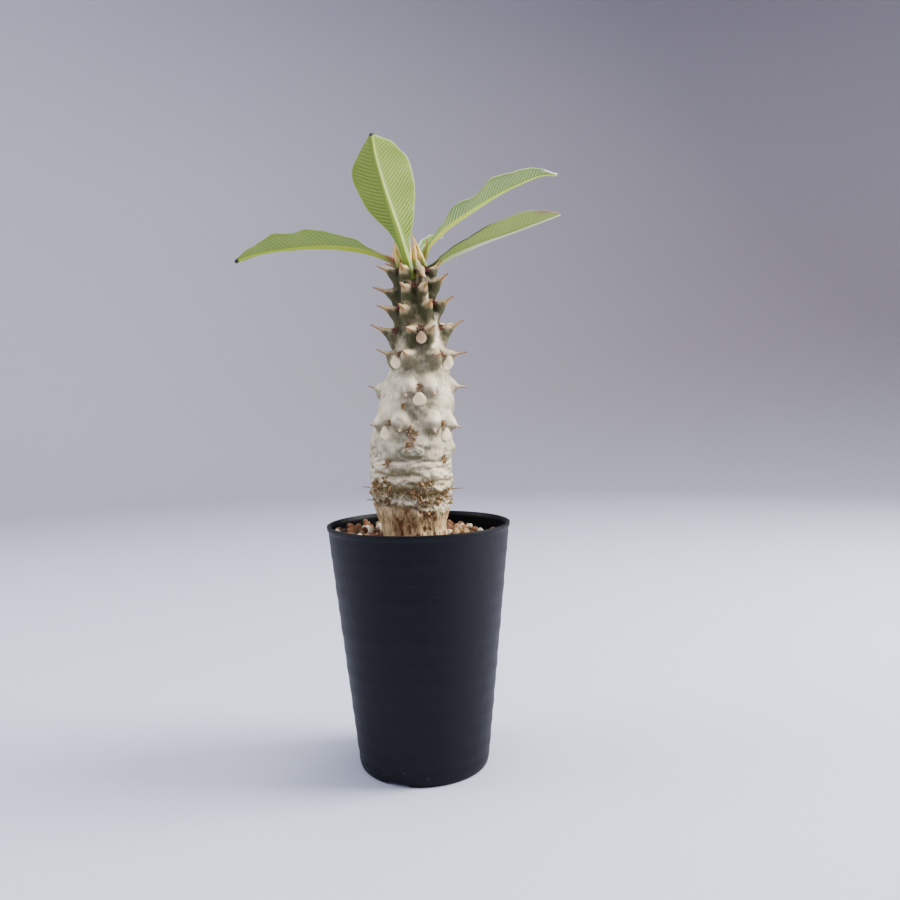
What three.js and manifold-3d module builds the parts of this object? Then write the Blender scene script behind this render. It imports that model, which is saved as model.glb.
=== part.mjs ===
// Potted Pachypodium baronii: a tapered plastic pot, its granular soil,
// the spiny succulent stem and five leaves.
// Millimetres, +Z up. The origin is the middle of the pot's underside and the front faces -Y.
import * as THREE from 'three';
import { mergeVertices } from 'three/addons/utils/BufferGeometryUtils.js';
import Module from 'manifold-3d';

const wasm = await Module();
wasm.setup();

// Gap between pieces that touch on the real plant
const clearance = 0.35;

// Pot
const potHeight = 139.8;
const rimRadius = 52.5;
const rimBandHeight = 2.6;
const rimBandStep = 0.5;
const taperRadius = 38.5;
const taperHeight = 8.3;
const footRadius = 35.7;
const wallThickness = 1.5;
const floorThickness = 4;
const wallWaves = 7;
const wallWaveDepth = 0.22;
const potSides = 40;

// Drainage grooves under the floor, and the hole in each
const grooveTurns = [-25, 95, 215];
const grooveWidth = 14;
const grooveDepth = 2;
const grooveStart = 16;
const drainHoleRadius = 4;
const drainHoleReach = 25;

// Soil
const soilHeight = 131;
const grainRadius = 4.8;
const grainRings = [23.5, 30, 36.5, 43.5];
const grainSpacing = 8;

// Stem outline: height, radius, and how far its middle lies to the right of the pot's axis
const stemOutline = [
  [88, 9, -2],
  [96, 13.5, -2],
  [128, 17.4, -2],
  [134, 18, -2.2],
  [140, 18.3, -3.1],
  [146, 20.6, -3.3],
  [152, 21.4, -3.4],
  [158, 23.2, -3.2],
  [175, 23.1, -3.4],
  [187, 23.4, -2.8],
  [198, 21.8, -1.1],
  [209, 21.2, 0.8],
  [215, 19.8, 0.9],
  [221, 18.3, 1.4],
  [227, 17.2, 2.7],
  [244, 16.4, 3.2],
  [255, 14.8, 2.9],
  [266, 13.2, 1.9],
  [277, 12, 1.2],
  [283, 10.6, -0.1],
  [288, 7.4, -0.5],
];
const rootTip = stemOutline[0][0];
const crownHeight = stemOutline[stemOutline.length - 1][0];
const crownCapHeight = 290;
const crownCapRadius = 3;
const stemSides = 24;
const buriedEnd = 131;
const ribEnd = 152;
const foldEnd = 189;
const ribCount = 8;
const ribDepth = 1.2;
const foldDepth = 0.55;
const foldSpacing = 6;
const lobeDepth = 0.35;
const lobeTwist = 15;

// Shoulders of the stem, seen from the front and at its sides:
// turn to the right in degrees, height, lift of its two spines in degrees, and their length
const shoulders = [
  [53, 196.5, -22, 9],
  [-39, 198, -14, 9],
  [4, 216.5, -24, 9],
  [112, 217, -12, 10],
  [-110, 216, 18, 10],
  [-48, 235.5, 20, 10],
  [55, 235, 10, 10],
  [4, 248.5, 7, 10],
  [56, 247.5, 32, 12],
  [-64, 247, 30, 13],
  [-52, 259, 25, 11],
  [43, 261, 25, 11],
  [-1, 270.5, 23, 10],
  [99, 273, 34, 12],
  [-104, 270, 18, 13],
  [-44, 281.5, 20, 11],
  [40, 282, 36, 11],
];
const backTurnLimit = 75;
const backRise = 0.03;

// Spines: those low on the stem first, then those near the crown
const youngFrom = 200;
const youngBy = 270;
const spineHalfSpread = [6.4, 4.4];
const spineRootRadius = [3.6, 4.1];
const spineRootSag = 1.6;
const spineSplay = 8;
const crownSpineRadius = 1.5;
const knobSwell = 1.1;
const knobSize = 5;
const knobDrop = 2;
const scarHighest = 250;
const scarDrop = 6.5;
const scarWidth = 6;
const scarProud = 1.5;
const oldScarProud = 1;

// Worn scars in the folded part of the stem: turn, height, width, height of the scar
const oldScars = [
  [1, 181, 13, 7],
  [62, 178, 7, 5],
  [-58, 176, 7, 5],
  [118, 180, 9, 6],
  [180, 177, 12, 7],
  [-122, 181, 9, 6],
];

// Young upright spines of the crown: turn, reach from the middle, lean outward in degrees, length
const crownSpines = [
  [-70, 8.2, 6, 14],
  [-25, 5.5, 4, 9],
  [15, 4.2, 3, 14],
  [50, 5.4, 2, 15],
  [100, 6.5, 14, 11],
  [140, 7, 12, 13],
  [178, 7.2, 10, 14],
  [-140, 7, 12, 13],
  [-105, 6.5, 10, 12],
];

// Leaves: points of the midrib, the way the upper face looks, roll and fold in degrees,
// half width, and where the blade is widest as a share of its length
const leaves = [
  {
    name: 'leaf_front',
    midrib: [
      [-1.2, -7, 281], [-2, -8.4, 288], [-4.6, -10.8, 302], [-9, -14.5, 316],
      [-13.4, -19.3, 329.3], [-17.5, -25.1, 342], [-19.3, -29.7, 350.7],
    ],
    facing: [-0.35, 1, 0.3],
    roll: 0,
    fold: 14,
    halfWidth: 17.2,
    widest: 0.68,
    ripple: 0.7,
  },
  {
    name: 'leaf_left',
    midrib: [
      [-5.5, 0.2, 284.2], [-10, 0.3, 288.4], [-18.4, 0.8, 292], [-33, 1.7, 296],
      [-48.9, 2.6, 298], [-64.5, 3.6, 297.9], [-80.2, 4.5, 296.1], [-100.4, 5.7, 290.6],
    ],
    facing: [0, 0, 1],
    roll: 8,
    fold: 17,
    halfWidth: 16.5,
    widest: 0.58,
    ripple: 1,
  },
  {
    name: 'leaf_right_upper',
    midrib: [
      [5, 2, 284.6], [8.3, 3.1, 292.5], [12, 4.4, 300], [22.1, 8.1, 309.7], [33.5, 12.2, 317.9],
      [53.2, 19.3, 331], [66.4, 24, 337.4], [79.9, 28.9, 342.6], [89.3, 32.3, 344.6],
    ],
    facing: [-0.3, 0, 1],
    roll: -8,
    fold: 17,
    halfWidth: 17,
    widest: 0.58,
    ripple: 1,
  },
  {
    name: 'leaf_right_lower',
    midrib: [
      [6.5, -2.4, 280.8], [11.9, -4.3, 285], [19.8, -6.9, 288.7], [31.4, -10.7, 293.4],
      [42.9, -14.5, 297.1], [54.1, -18.2, 300.2], [65.2, -21.9, 303.3], [80.3, -26.8, 307.6],
    ],
    facing: [0, 0, 1],
    roll: -4,
    fold: 15,
    halfWidth: 15.5,
    widest: 0.62,
    ripple: 0.6,
  },
  {
    name: 'leaf_back',
    midrib: [
      [1.5, 5.2, 284], [4.4, 9.5, 294], [7.5, 15, 301], [12.5, 24, 307], [18.2, 34, 311.5],
      [23, 43, 314],
    ],
    facing: [0, -0.3, 1],
    roll: 0,
    fold: 22,
    halfWidth: 6.5,
    widest: 0.55,
    ripple: 0.4,
  },
];
const leafStations = 20;
const bladeThickness = 0.85;
const stalkHalfWidth = 1.6;
const midribHalfWidth = 1.1;
const midribDepth = 2;
const midribTipDepth = 0.5;
const ripples = 4;
const stalkShare = 0.09;

// Colours
const colours = {
  pot: 0x2b2f36,
  soil: 0x8a6a4c,
  stem: 0xb9b7a0,
  leaf: 0x86a352,
};

// Repeatable random numbers between 0 and 1
function seededRandom(seed) {
  let state = seed;
  return () => {
    state = (state * 1664525 + 1013904223) % 4294967296;
    return state / 4294967296;
  };
}

const degrees = THREE.MathUtils.degToRad;
const mix = THREE.MathUtils.lerp;
const { clamp, smoothstep } = THREE.MathUtils;

// A triangle mesh as a solid, with its shared vertices merged and its empty triangles left out
function asSolid(geometry) {
  const bare = geometry.clone();
  bare.deleteAttribute('normal');
  bare.deleteAttribute('uv');
  const merged = mergeVertices(bare, 1e-4);
  const corners = merged.index.array;
  const kept = [];
  for (let i = 0; i < corners.length; i += 3) {
    const [a, b, c] = [corners[i], corners[i + 1], corners[i + 2]];
    if (a !== b && b !== c && c !== a) kept.push(a, b, c);
  }
  return new wasm.Manifold(new wasm.Mesh({
    numProp: 3,
    vertProperties: new Float32Array(merged.attributes.position.array),
    triVerts: new Uint32Array(kept),
  }));
}

// The largest outer body of a solid: hollows sealed by joining are filled and loose scraps dropped
function outerBody(solid) {
  return solid.decompose().reduce((best, body) => (body.volume() > best.volume() ? body : best));
}

function asGeometry(solid) {
  const mesh = solid.getMesh();
  const geometry = new THREE.BufferGeometry();
  geometry.setAttribute('position', new THREE.BufferAttribute(mesh.vertProperties, 3));
  geometry.setIndex(new THREE.BufferAttribute(mesh.triVerts, 1));
  geometry.computeVertexNormals();
  return geometry;
}

// A named mesh with its own material
function piece(name, solid, colour, roughness) {
  const material = new THREE.MeshStandardMaterial({ color: colour, roughness, metalness: 0 });
  const mesh = new THREE.Mesh(asGeometry(solid), material);
  mesh.name = name;
  return mesh;
}

// A closed skin through rings of points, each ring running the same way, with a fan at each end
function skin(rings) {
  const points = [];
  const corners = [];
  const count = rings[0].length;
  for (const ring of rings) {
    for (const point of ring) points.push(point.x, point.y, point.z);
  }
  for (let row = 0; row < rings.length - 1; row += 1) {
    for (let k = 0; k < count; k += 1) {
      const a = row * count + k;
      const b = row * count + ((k + 1) % count);
      corners.push(a, b, b + count, a, b + count, a + count);
    }
  }
  for (const [row, first, second] of [[0, 1, 0], [rings.length - 1, 0, 1]]) {
    const middle = new THREE.Vector3();
    for (const point of rings[row]) middle.addScaledVector(point, 1 / count);
    const hub = points.length / 3;
    points.push(middle.x, middle.y, middle.z);
    for (let k = 0; k < count; k += 1) {
      const edge = [row * count + k, row * count + ((k + 1) % count)];
      corners.push(hub, edge[first], edge[second]);
    }
  }
  const geometry = new THREE.BufferGeometry();
  geometry.setAttribute('position', new THREE.Float32BufferAttribute(points, 3));
  geometry.setIndex(corners);
  return asSolid(geometry);
}

// A profile of [radius, height] pairs turned round the pot's axis
function turned(profile) {
  const outline = profile.map(([radius, height]) => new THREE.Vector2(radius, height));
  const geometry = new THREE.LatheGeometry(outline, potSides);
  geometry.rotateX(Math.PI / 2);
  return asSolid(geometry);
}

// Point at a turn to the right of the front, a reach from the axis and a height
function around(turn, reach, height) {
  return new THREE.Vector3(reach * Math.sin(degrees(turn)), -reach * Math.cos(degrees(turn)), height);
}

// Outer radius of the pot's wall, without the rim band and the waves
function wallRadius(height) {
  const share = (height - taperHeight) / (potHeight - taperHeight);
  return mix(taperRadius, rimRadius, share);
}

// The straight inner face of the wall
function innerRadius(height) {
  return wallRadius(height) - rimBandStep - wallThickness;
}

function makePot() {
  const profile = [[0, 0], [footRadius, 0]];
  const footSteps = 3;
  for (let i = 1; i <= footSteps; i += 1) {
    const angle = (i / footSteps) * Math.PI / 2;
    const reach = wallRadius(taperHeight) - rimBandStep - footRadius;
    profile.push([footRadius + reach * Math.sin(angle), taperHeight * (1 - Math.cos(angle))]);
  }
  const bandFoot = potHeight - rimBandHeight;
  const steps = wallWaves * 2;
  for (let i = 1; i <= steps; i += 1) {
    const height = mix(taperHeight, bandFoot, i / steps);
    const wave = i % 2 === 1 ? -wallWaveDepth : 0;
    profile.push([wallRadius(height) - rimBandStep + wave, height]);
  }
  const lipInside = rimRadius - rimBandStep - wallThickness;
  profile.push([rimRadius - 0.2, bandFoot + 0.4]);
  profile.push([rimRadius, potHeight - 0.7]);
  profile.push([rimRadius - 0.6, potHeight]);
  profile.push([lipInside + 0.5, potHeight]);
  profile.push([lipInside - 0.1, potHeight - 0.7]);
  profile.push([innerRadius(floorThickness), floorThickness]);
  profile.push([0, floorThickness]);
  let pot = turned(profile);
  for (const turn of grooveTurns) {
    const length = footRadius + taperHeight - grooveStart;
    const groove = new THREE.BoxGeometry(grooveWidth, length, grooveDepth * 2);
    groove.translate(0, -(grooveStart + length / 2), 0);
    groove.rotateZ(degrees(turn));
    pot = pot.subtract(asSolid(groove));
    const hole = new THREE.CylinderGeometry(drainHoleRadius, drainHoleRadius, floorThickness * 3, 14);
    hole.rotateX(Math.PI / 2);
    hole.translate(0, -drainHoleReach, 0);
    hole.rotateZ(degrees(turn));
    pot = pot.subtract(asSolid(hole));
  }
  return pot;
}

// Radius and middle of the stem at a height, between the points of its outline
function stemAt(height) {
  let i = 1;
  while (i < stemOutline.length - 1 && stemOutline[i][0] < height) i += 1;
  const [lowHeight, lowRadius, lowMiddle] = stemOutline[i - 1];
  const [highHeight, highRadius, highMiddle] = stemOutline[i];
  const share = clamp((height - lowHeight) / (highHeight - lowHeight), 0, 1);
  return { radius: mix(lowRadius, highRadius, share), middle: mix(lowMiddle, highMiddle, share) };
}

// Point of the stem's plain surface
function onStem(turn, height) {
  const { radius, middle } = stemAt(height);
  return around(turn, radius, height).add(new THREE.Vector3(middle, 0, 0));
}

// Outward direction at a turn, lifted by an angle
function outward(turn, lift) {
  return around(turn, Math.cos(degrees(lift)), Math.sin(degrees(lift)));
}

// The front shoulders, and their mirror round the back, which climbs a little higher
function allShoulders() {
  const random = seededRandom(7);
  const all = shoulders.map(([turn, height, lift, length]) => ({ turn, height, lift, length }));
  for (const [turn, height, lift, length] of shoulders) {
    if (Math.abs(turn) > backTurnLimit) continue;
    all.push({
      turn: 180 - turn + 8 * (random() - 0.5),
      height: height + backRise * (height - 200) + random() - 0.5,
      lift: lift + 8 * (random() - 0.5),
      length,
    });
  }
  return all;
}

// A horn from inside its carrier to a fine tip, its root flared and drawn downward by sag
function horn(foot, direction, length, radius, sag) {
  const sides = 4;
  const stations = [[-0.25, 1.1, 1], [0, 0.9, 0.5], [0.3, 0.42, 0.1], [1, 0.05, 0]];
  const axis = direction.clone().normalize();
  const across = new THREE.Vector3(0, 0, 1).cross(axis).normalize();
  const upward = axis.clone().cross(across);
  const rings = stations.map(([share, width, sunk]) => {
    const ring = [];
    for (let k = 0; k < sides; k += 1) {
      const angle = (k / sides) * Math.PI * 2;
      const point = foot.clone().addScaledVector(axis, share * length);
      point.addScaledVector(across, Math.cos(angle) * radius * width);
      point.addScaledVector(upward, Math.sin(angle) * (radius + sag * sunk) * width - sag * sunk);
      ring.push(point);
    }
    return ring;
  });
  return skin(rings);
}

// A low round or oval pad that lies on the stem
function pad(turn, height, width, tall, proud) {
  const depth = 3;
  const geometry = new THREE.CylinderGeometry(0.42, 0.5, depth, 8);
  geometry.rotateX(Math.PI / 2);
  geometry.scale(width, tall, 1);
  geometry.translate(0, 0, proud - depth / 2);
  const outwardAxis = outward(turn, 0);
  const upAxis = new THREE.Vector3(0, 0, 1);
  const sideAxis = upAxis.clone().cross(outwardAxis);
  geometry.applyMatrix4(new THREE.Matrix4().makeBasis(sideAxis, upAxis, outwardAxis));
  const place = onStem(turn, height);
  geometry.translate(place.x, place.y, place.z);
  return asSolid(geometry);
}

// Heights of the stem's rings: close together where it is folded
function stemHeights() {
  const heights = [];
  const stretches = [
    [rootTip, 96, 8],
    [96, buriedEnd, 12],
    [buriedEnd, ribEnd, 4],
    [ribEnd, foldEnd, 2],
    [foldEnd, crownHeight, 6.5],
  ];
  for (const [low, high, step] of stretches) {
    const count = Math.round((high - low) / step);
    for (let i = 0; i < count; i += 1) heights.push(mix(low, high, i / count));
  }
  heights.push(crownHeight);
  return heights;
}

// One ring of the stem, its radius given for each turn
function stemRing(height, radiusAt) {
  const { middle } = stemAt(height);
  const ring = [];
  for (let k = 0; k < stemSides; k += 1) {
    const turn = (k / stemSides) * 360;
    ring.push(around(turn, radiusAt(turn), height).add(new THREE.Vector3(middle, 0, 0)));
  }
  return ring;
}

// How far the stem's skin stands out from its plain outline
function stemRelief(turn, height, knobs) {
  const angle = degrees(turn);
  const aboveSoil = smoothstep(height, buriedEnd, buriedEnd + 5);
  const belowFolds = 1 - smoothstep(height, ribEnd - 8, ribEnd + 4);
  const ribs = ribDepth * Math.cos(ribCount * angle) * aboveSoil * belowFolds;
  const foldStart = smoothstep(height, ribEnd - 4, ribEnd + 4);
  const foldFade = 1 - smoothstep(height, foldEnd - 8, foldEnd);
  const wander = 1.3 * Math.sin(2 * angle) + 0.8 * Math.sin(3 * angle + 1);
  const wave = Math.sin((height / foldSpacing) * Math.PI * 2 + wander);
  const folds = foldDepth * wave * foldStart * foldFade;
  let swell = lobeDepth * Math.sin(3 * angle + height / lobeTwist) * aboveSoil;
  for (const knob of knobs) {
    const turnAway = ((turn - knob.turn + 540) % 360) - 180;
    const sideways = degrees(turnAway) * stemAt(knob.height).radius;
    const distance = Math.hypot(sideways, height - knob.height + knobDrop);
    swell += knobSwell * Math.exp(-((distance / knobSize) ** 2));
  }
  return ribs + folds + swell;
}

function makeStem() {
  const knobs = allShoulders();
  const rings = stemHeights().map((height) => (
    stemRing(height, (turn) => stemAt(height).radius + stemRelief(turn, height, knobs))
  ));
  rings.push(stemRing(crownCapHeight, () => crownCapRadius));
  let stem = skin(rings);
  for (const { turn, height, lift, length } of knobs) {
    const young = smoothstep(height, youngFrom, youngBy);
    const halfSpread = mix(...spineHalfSpread, young) / stemAt(height).radius;
    const spread = THREE.MathUtils.radToDeg(halfSpread);
    const root = mix(...spineRootRadius, young);
    for (const side of [-1, 1]) {
      const foot = onStem(turn + side * spread, height);
      const direction = outward(turn + side * (spread + spineSplay), lift);
      stem = stem.add(horn(foot, direction, length, root, spineRootSag));
    }
    if (height < scarHighest) {
      stem = stem.add(pad(turn, height - scarDrop, scarWidth, scarWidth, scarProud));
    }
  }
  for (const [turn, height, width, tall] of oldScars) {
    stem = stem.add(pad(turn, height, width, tall, oldScarProud));
  }
  for (const [turn, reach, lean, length] of crownSpines) {
    const foot = around(turn, reach, crownHeight - 1);
    foot.x += stemAt(crownHeight).middle;
    stem = stem.add(horn(foot, outward(turn, 90 - lean), length, crownSpineRadius, 0));
  }
  return stem;
}

// Half width of a blade at a share of its length: a thin stalk, then an oval with a point
function bladeHalfWidth(leaf, share) {
  const along = clamp((share - stalkShare) / (1 - stalkShare), 0, 1);
  const widestAlong = (leaf.widest - stalkShare) / (1 - stalkShare);
  const power = Math.log(0.5) / Math.log(widestAlong);
  const oval = Math.sin(Math.PI * along ** power) ** 0.78;
  return Math.max(leaf.halfWidth * oval, mix(stalkHalfWidth, 0.35, share));
}

// A leaf as one closed blade on its midrib, grown by a margin on every side
function makeLeaf(leaf, margin = 0) {
  const curve = new THREE.CatmullRomCurve3(leaf.midrib.map((point) => new THREE.Vector3(...point)));
  const facing = new THREE.Vector3(...leaf.facing);
  const upper = [];
  const lower = [];
  for (let i = 0; i <= leafStations; i += 1) {
    const share = i / leafStations;
    const tangent = curve.getTangentAt(share).normalize();
    const side = tangent.clone().cross(facing).normalize().applyAxisAngle(tangent, degrees(leaf.roll));
    const normal = side.clone().cross(tangent);
    const middle = curve.getPointAt(share);
    if (i === 0) middle.addScaledVector(tangent, -margin);
    if (i === leafStations) middle.addScaledVector(tangent, margin);
    const halfWidth = bladeHalfWidth(leaf, share) + margin;
    const ridge = Math.min(midribHalfWidth + margin, halfWidth * 0.5);
    const fold = degrees(leaf.fold) * smoothstep(share, 0, 0.3);
    const topRow = [];
    const bottomRow = [];
    const half = (halfWidth + ridge) / 2;
    for (const across of [-halfWidth, -half, -ridge, 0, ridge, half, halfWidth]) {
      const rate = Math.abs(across) / halfWidth;
      const phase = share * ripples + (across < 0 ? 0.35 : 0);
      const rippled = leaf.ripple * smoothstep(share, 0.15, 0.35) * Math.sin(phase * Math.PI * 2);
      const rise = Math.abs(across) * Math.sin(fold) * (1.25 - 0.25 * rate) + rippled * rate ** 2;
      const rounding = across === 0 ? 1 : 0.55;
      const rib = Math.abs(across) > ridge ? 0 : rounding * mix(midribDepth, midribTipDepth, share);
      const point = middle.clone().addScaledVector(side, across * Math.cos(fold));
      topRow.push(point.clone().addScaledVector(normal, rise + margin));
      bottomRow.push(point.clone().addScaledVector(normal, rise - bladeThickness - rib - margin));
    }
    upper.push(topRow);
    lower.push(bottomRow);
  }
  const rings = upper.map((row, i) => [...row, ...lower[i].slice().reverse()]);
  return strip(rings);
}

// Closes a run of flat rings, with each end covered from one face to the other
function strip(rings) {
  const points = rings.flat().flatMap((point) => [point.x, point.y, point.z]);
  const count = rings[0].length;
  const half = count / 2;
  const corners = [];
  for (let row = 0; row < rings.length - 1; row += 1) {
    for (let k = 0; k < count; k += 1) {
      const a = row * count + k;
      const b = row * count + ((k + 1) % count);
      if (k < half) corners.push(a, b, b + count, a, b + count, a + count);
      else corners.push(a, b, a + count, b, b + count, a + count);
    }
  }
  const last = (rings.length - 1) * count;
  for (let k = 0; k < half - 1; k += 1) {
    const [a, b, c, d] = [k, k + 1, count - 2 - k, count - 1 - k];
    corners.push(a, c, b, a, d, c);
    corners.push(last + a, last + b, last + c, last + a, last + c, last + d);
  }
  const geometry = new THREE.BufferGeometry();
  geometry.setAttribute('position', new THREE.Float32BufferAttribute(points, 3));
  geometry.setIndex(corners);
  return asSolid(geometry);
}

// The plain tapered hole in the soil that the buried stem stands in, flared above the soil
function makeSoilHole() {
  const levels = [[rootTip - clearance, 0], [96, 0], [128, 0], [134, 2], [potHeight + 4, 6]];
  return skin(levels.map(([height, flare]) => (
    stemRing(height, () => stemAt(height).radius + clearance + flare)
  )));
}

function makeSoil() {
  const random = seededRandom(11);
  const bottom = floorThickness + clearance;
  const inside = (height) => innerRadius(height) - clearance;
  const bed = (top) => turned([[0, bottom], [inside(bottom), bottom], [inside(top), top], [0, top]]);
  let soil = bed(soilHeight);
  for (const reach of grainRings) {
    const count = Math.round((reach * Math.PI * 2) / grainSpacing);
    for (let k = 0; k < count; k += 1) {
      const grain = new THREE.OctahedronGeometry(grainRadius, 0);
      grain.scale(0.8 + 0.4 * random(), 0.8 + 0.4 * random(), 0.7 + 0.3 * random());
      grain.rotateX(random() * Math.PI);
      grain.rotateZ(random() * Math.PI * 2);
      const turn = ((k + 0.6 * random()) / count) * 360;
      const place = around(turn, reach + 1.6 * (random() - 0.5), soilHeight + random());
      grain.translate(place.x, place.y, place.z);
      soil = soil.add(asSolid(grain));
    }
  }
  soil = soil.intersect(bed(potHeight - 1)).subtract(makeSoilHole());
  return outerBody(soil);
}

const plant = new THREE.Group();
plant.name = 'potted_pachypodium';
plant.add(piece('pot', makePot(), colours.pot, 0.55));
plant.add(piece('soil', makeSoil(), colours.soil, 0.95));
let stem = makeStem();
for (const leaf of leaves) {
  plant.add(piece(leaf.name, makeLeaf(leaf), colours.leaf, 0.5));
  stem = stem.subtract(makeLeaf(leaf, clearance));
}
plant.add(piece('stem', outerBody(stem), colours.stem, 0.7));

export default plant;
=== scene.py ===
"""Potted Pachypodium baronii, dressed: pot, soil grains, spiny stem and leaves
with their materials, the studio and the photograph's camera.
Shapes are worked out in millimetres in the CAD model's frame and stored in metres."""
import functools
import itertools
import math

import bmesh
import bpy
import numpy as np
from mathutils import Matrix, Vector


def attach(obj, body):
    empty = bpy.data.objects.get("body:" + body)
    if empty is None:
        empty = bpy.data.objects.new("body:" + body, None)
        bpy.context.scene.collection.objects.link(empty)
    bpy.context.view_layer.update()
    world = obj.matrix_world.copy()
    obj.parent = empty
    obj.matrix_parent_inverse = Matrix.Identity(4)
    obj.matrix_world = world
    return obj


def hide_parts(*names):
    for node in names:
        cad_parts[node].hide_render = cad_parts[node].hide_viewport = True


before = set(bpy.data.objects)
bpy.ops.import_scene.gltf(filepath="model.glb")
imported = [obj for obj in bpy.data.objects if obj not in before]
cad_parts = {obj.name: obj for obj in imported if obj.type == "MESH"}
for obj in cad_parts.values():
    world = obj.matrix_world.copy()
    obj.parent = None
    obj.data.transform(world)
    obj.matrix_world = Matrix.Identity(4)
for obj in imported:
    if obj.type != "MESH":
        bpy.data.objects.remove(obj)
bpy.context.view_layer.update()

MM = 0.001


# Camera, fitted to the pot's outline in the photograph

IMAGE_WIDTH = 900
FOCAL_PIXELS = 818.7
SENSOR_WIDTH = 36
CLIP_START = 0.01
EYE = Vector((0, -469.6, 205.8))
YAW, PITCH, ROLL = 2.33, 3.04, -1.42


def add_object(name, data):
    made = bpy.data.objects.new(name, data)
    bpy.context.scene.collection.objects.link(made)
    return made


def make_camera():
    yaw, pitch, roll = (math.radians(angle) for angle in (YAW, PITCH, ROLL))
    level = math.cos(pitch)
    forward = Vector((math.sin(yaw) * level, math.cos(yaw) * level, -math.sin(pitch)))
    level_right = Vector((math.cos(yaw), -math.sin(yaw), 0))
    level_up = level_right.cross(forward)
    right = level_right * math.cos(roll) + level_up * math.sin(roll)
    up = level_up * math.cos(roll) - level_right * math.sin(roll)
    data = bpy.data.cameras.new("camera")
    data.sensor_width = SENSOR_WIDTH
    data.lens = FOCAL_PIXELS / IMAGE_WIDTH * SENSOR_WIDTH
    data.clip_start = CLIP_START
    camera = add_object("camera", data)
    turned = Matrix((right, up, -forward)).transposed().to_4x4()
    camera.matrix_world = Matrix.Translation(EYE * MM) @ turned
    bpy.context.scene.camera = camera


make_camera()


# Small numeric helpers


def smooth(low, high, value):
    """0 at low and beyond, 1 at high and beyond, with a smooth step between."""
    share = np.clip((value - low) / (high - low), 0, 1)
    return share * share * (3 - 2 * share)


def mix(low, high, share):
    return low + (high - low) * share


def bell(value, width):
    return np.exp(-(value / width) ** 2)


def unit(vector):
    vector = np.asarray(vector, float)
    return vector / np.linalg.norm(vector)


def around(turn, reach, height):
    """Point at a turn to the right of the front in degrees, a reach from the axis and a height."""
    angle = np.radians(turn)
    return np.array([reach * np.sin(angle), -reach * np.cos(angle), height])


def ring(reach, height, sides):
    """Points round the pot's axis."""
    return np.array([around(turn, reach, height) for turn in np.arange(sides) * 360 / sides])


def outward(turn, lift):
    return around(turn, math.cos(math.radians(lift)), math.sin(math.radians(lift)))


def turn_gap(turn, other):
    """Signed difference between two turns, -180 to 180 degrees."""
    return (turn - other + 180) % 360 - 180


CELL_CORNERS = list(itertools.product((0, 1), repeat=3))
NOISE_CELLS = 64


def corner_weights(part):
    """The corners of a grid cell, with their shares at a place within it."""
    for corner in CELL_CORNERS:
        yield corner, np.prod(np.where(corner, part, 1 - part), axis=-1)


@functools.lru_cache(maxsize=None)
def noise_table(seed):
    return np.random.default_rng(seed).random((NOISE_CELLS,) * 3)


def noise(points, size, seed):
    """Smooth random field from 0 to 1 whose features are about size mm wide."""
    table = noise_table(seed)
    where = points / np.asarray(size, float)
    low = np.floor(where).astype(int)
    part = where - low
    part = part * part * (3 - 2 * part)
    total = 0.0
    for corner, weight in corner_weights(part):
        cell = (low + corner) % NOISE_CELLS
        total = total + weight * table[cell[..., 0], cell[..., 1], cell[..., 2]]
    return total


def seeded_random(seed):
    """The CAD source's repeatable random numbers between 0 and 1."""
    state = seed

    def draw():
        nonlocal state
        state = (state * 1664525 + 1013904223) % 4294967296
        return state / 4294967296
    return draw


# Meshes


def mesh_object(name, vertices, faces, material):
    """An object from points in millimetres and faces of three or four corners."""
    mesh = bpy.data.meshes.new(name)
    points = (np.asarray(vertices, float) * MM).tolist()
    mesh.from_pydata(points, [], [tuple(map(int, face)) for face in faces])
    mesh.validate()
    mesh.shade_smooth()
    mesh.materials.append(material)
    return add_object(name, mesh)


def piece(name, vertices, faces, material, replaced=None, masks=None, sharp_angle=None):
    """A named piece of the part. Its masks give each point a number for its material."""
    made = mesh_object(name, vertices, faces, material)
    for mask_name, values in (masks or {}).items():
        attribute = made.data.attributes.new(mask_name, "FLOAT", "POINT")
        attribute.data.foreach_set("value", np.asarray(values, np.float32))
    if sharp_angle:
        made.data.set_sharp_from_angle(angle=math.radians(sharp_angle))
    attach(made, "root")
    if replaced:
        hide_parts(replaced)
    return made


def apply_modifiers(made):
    """Keeps the piece's mesh as its modifiers shape it."""
    graph = bpy.context.evaluated_depsgraph_get()
    mesh = bpy.data.meshes.new_from_object(made.evaluated_get(graph))
    made.modifiers.clear()
    made.data = mesh


def tube_faces(rows, count, first=0):
    """Quads between rows of count points each, closed round each row."""
    row, k = np.meshgrid(np.arange(rows - 1), np.arange(count), indexing="ij")
    after = (k + 1) % count
    quads = [row * count + k, row * count + after, (row + 1) * count + after, (row + 1) * count + k]
    return np.stack(quads, -1).reshape(-1, 4) + first


def closed_faces(rows, count, first=0):
    """Faces of a tube closed at both ends, at two points that follow its rows."""
    faces = list(tube_faces(rows, count, first))
    hub = first + rows * count
    last = hub - count
    for k in range(count):
        after = (k + 1) % count
        faces.append((hub, first + after, first + k))
        faces.append((hub + 1, last + k, last + after))
    return faces


# Materials: a short way to write shader nodes


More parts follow.
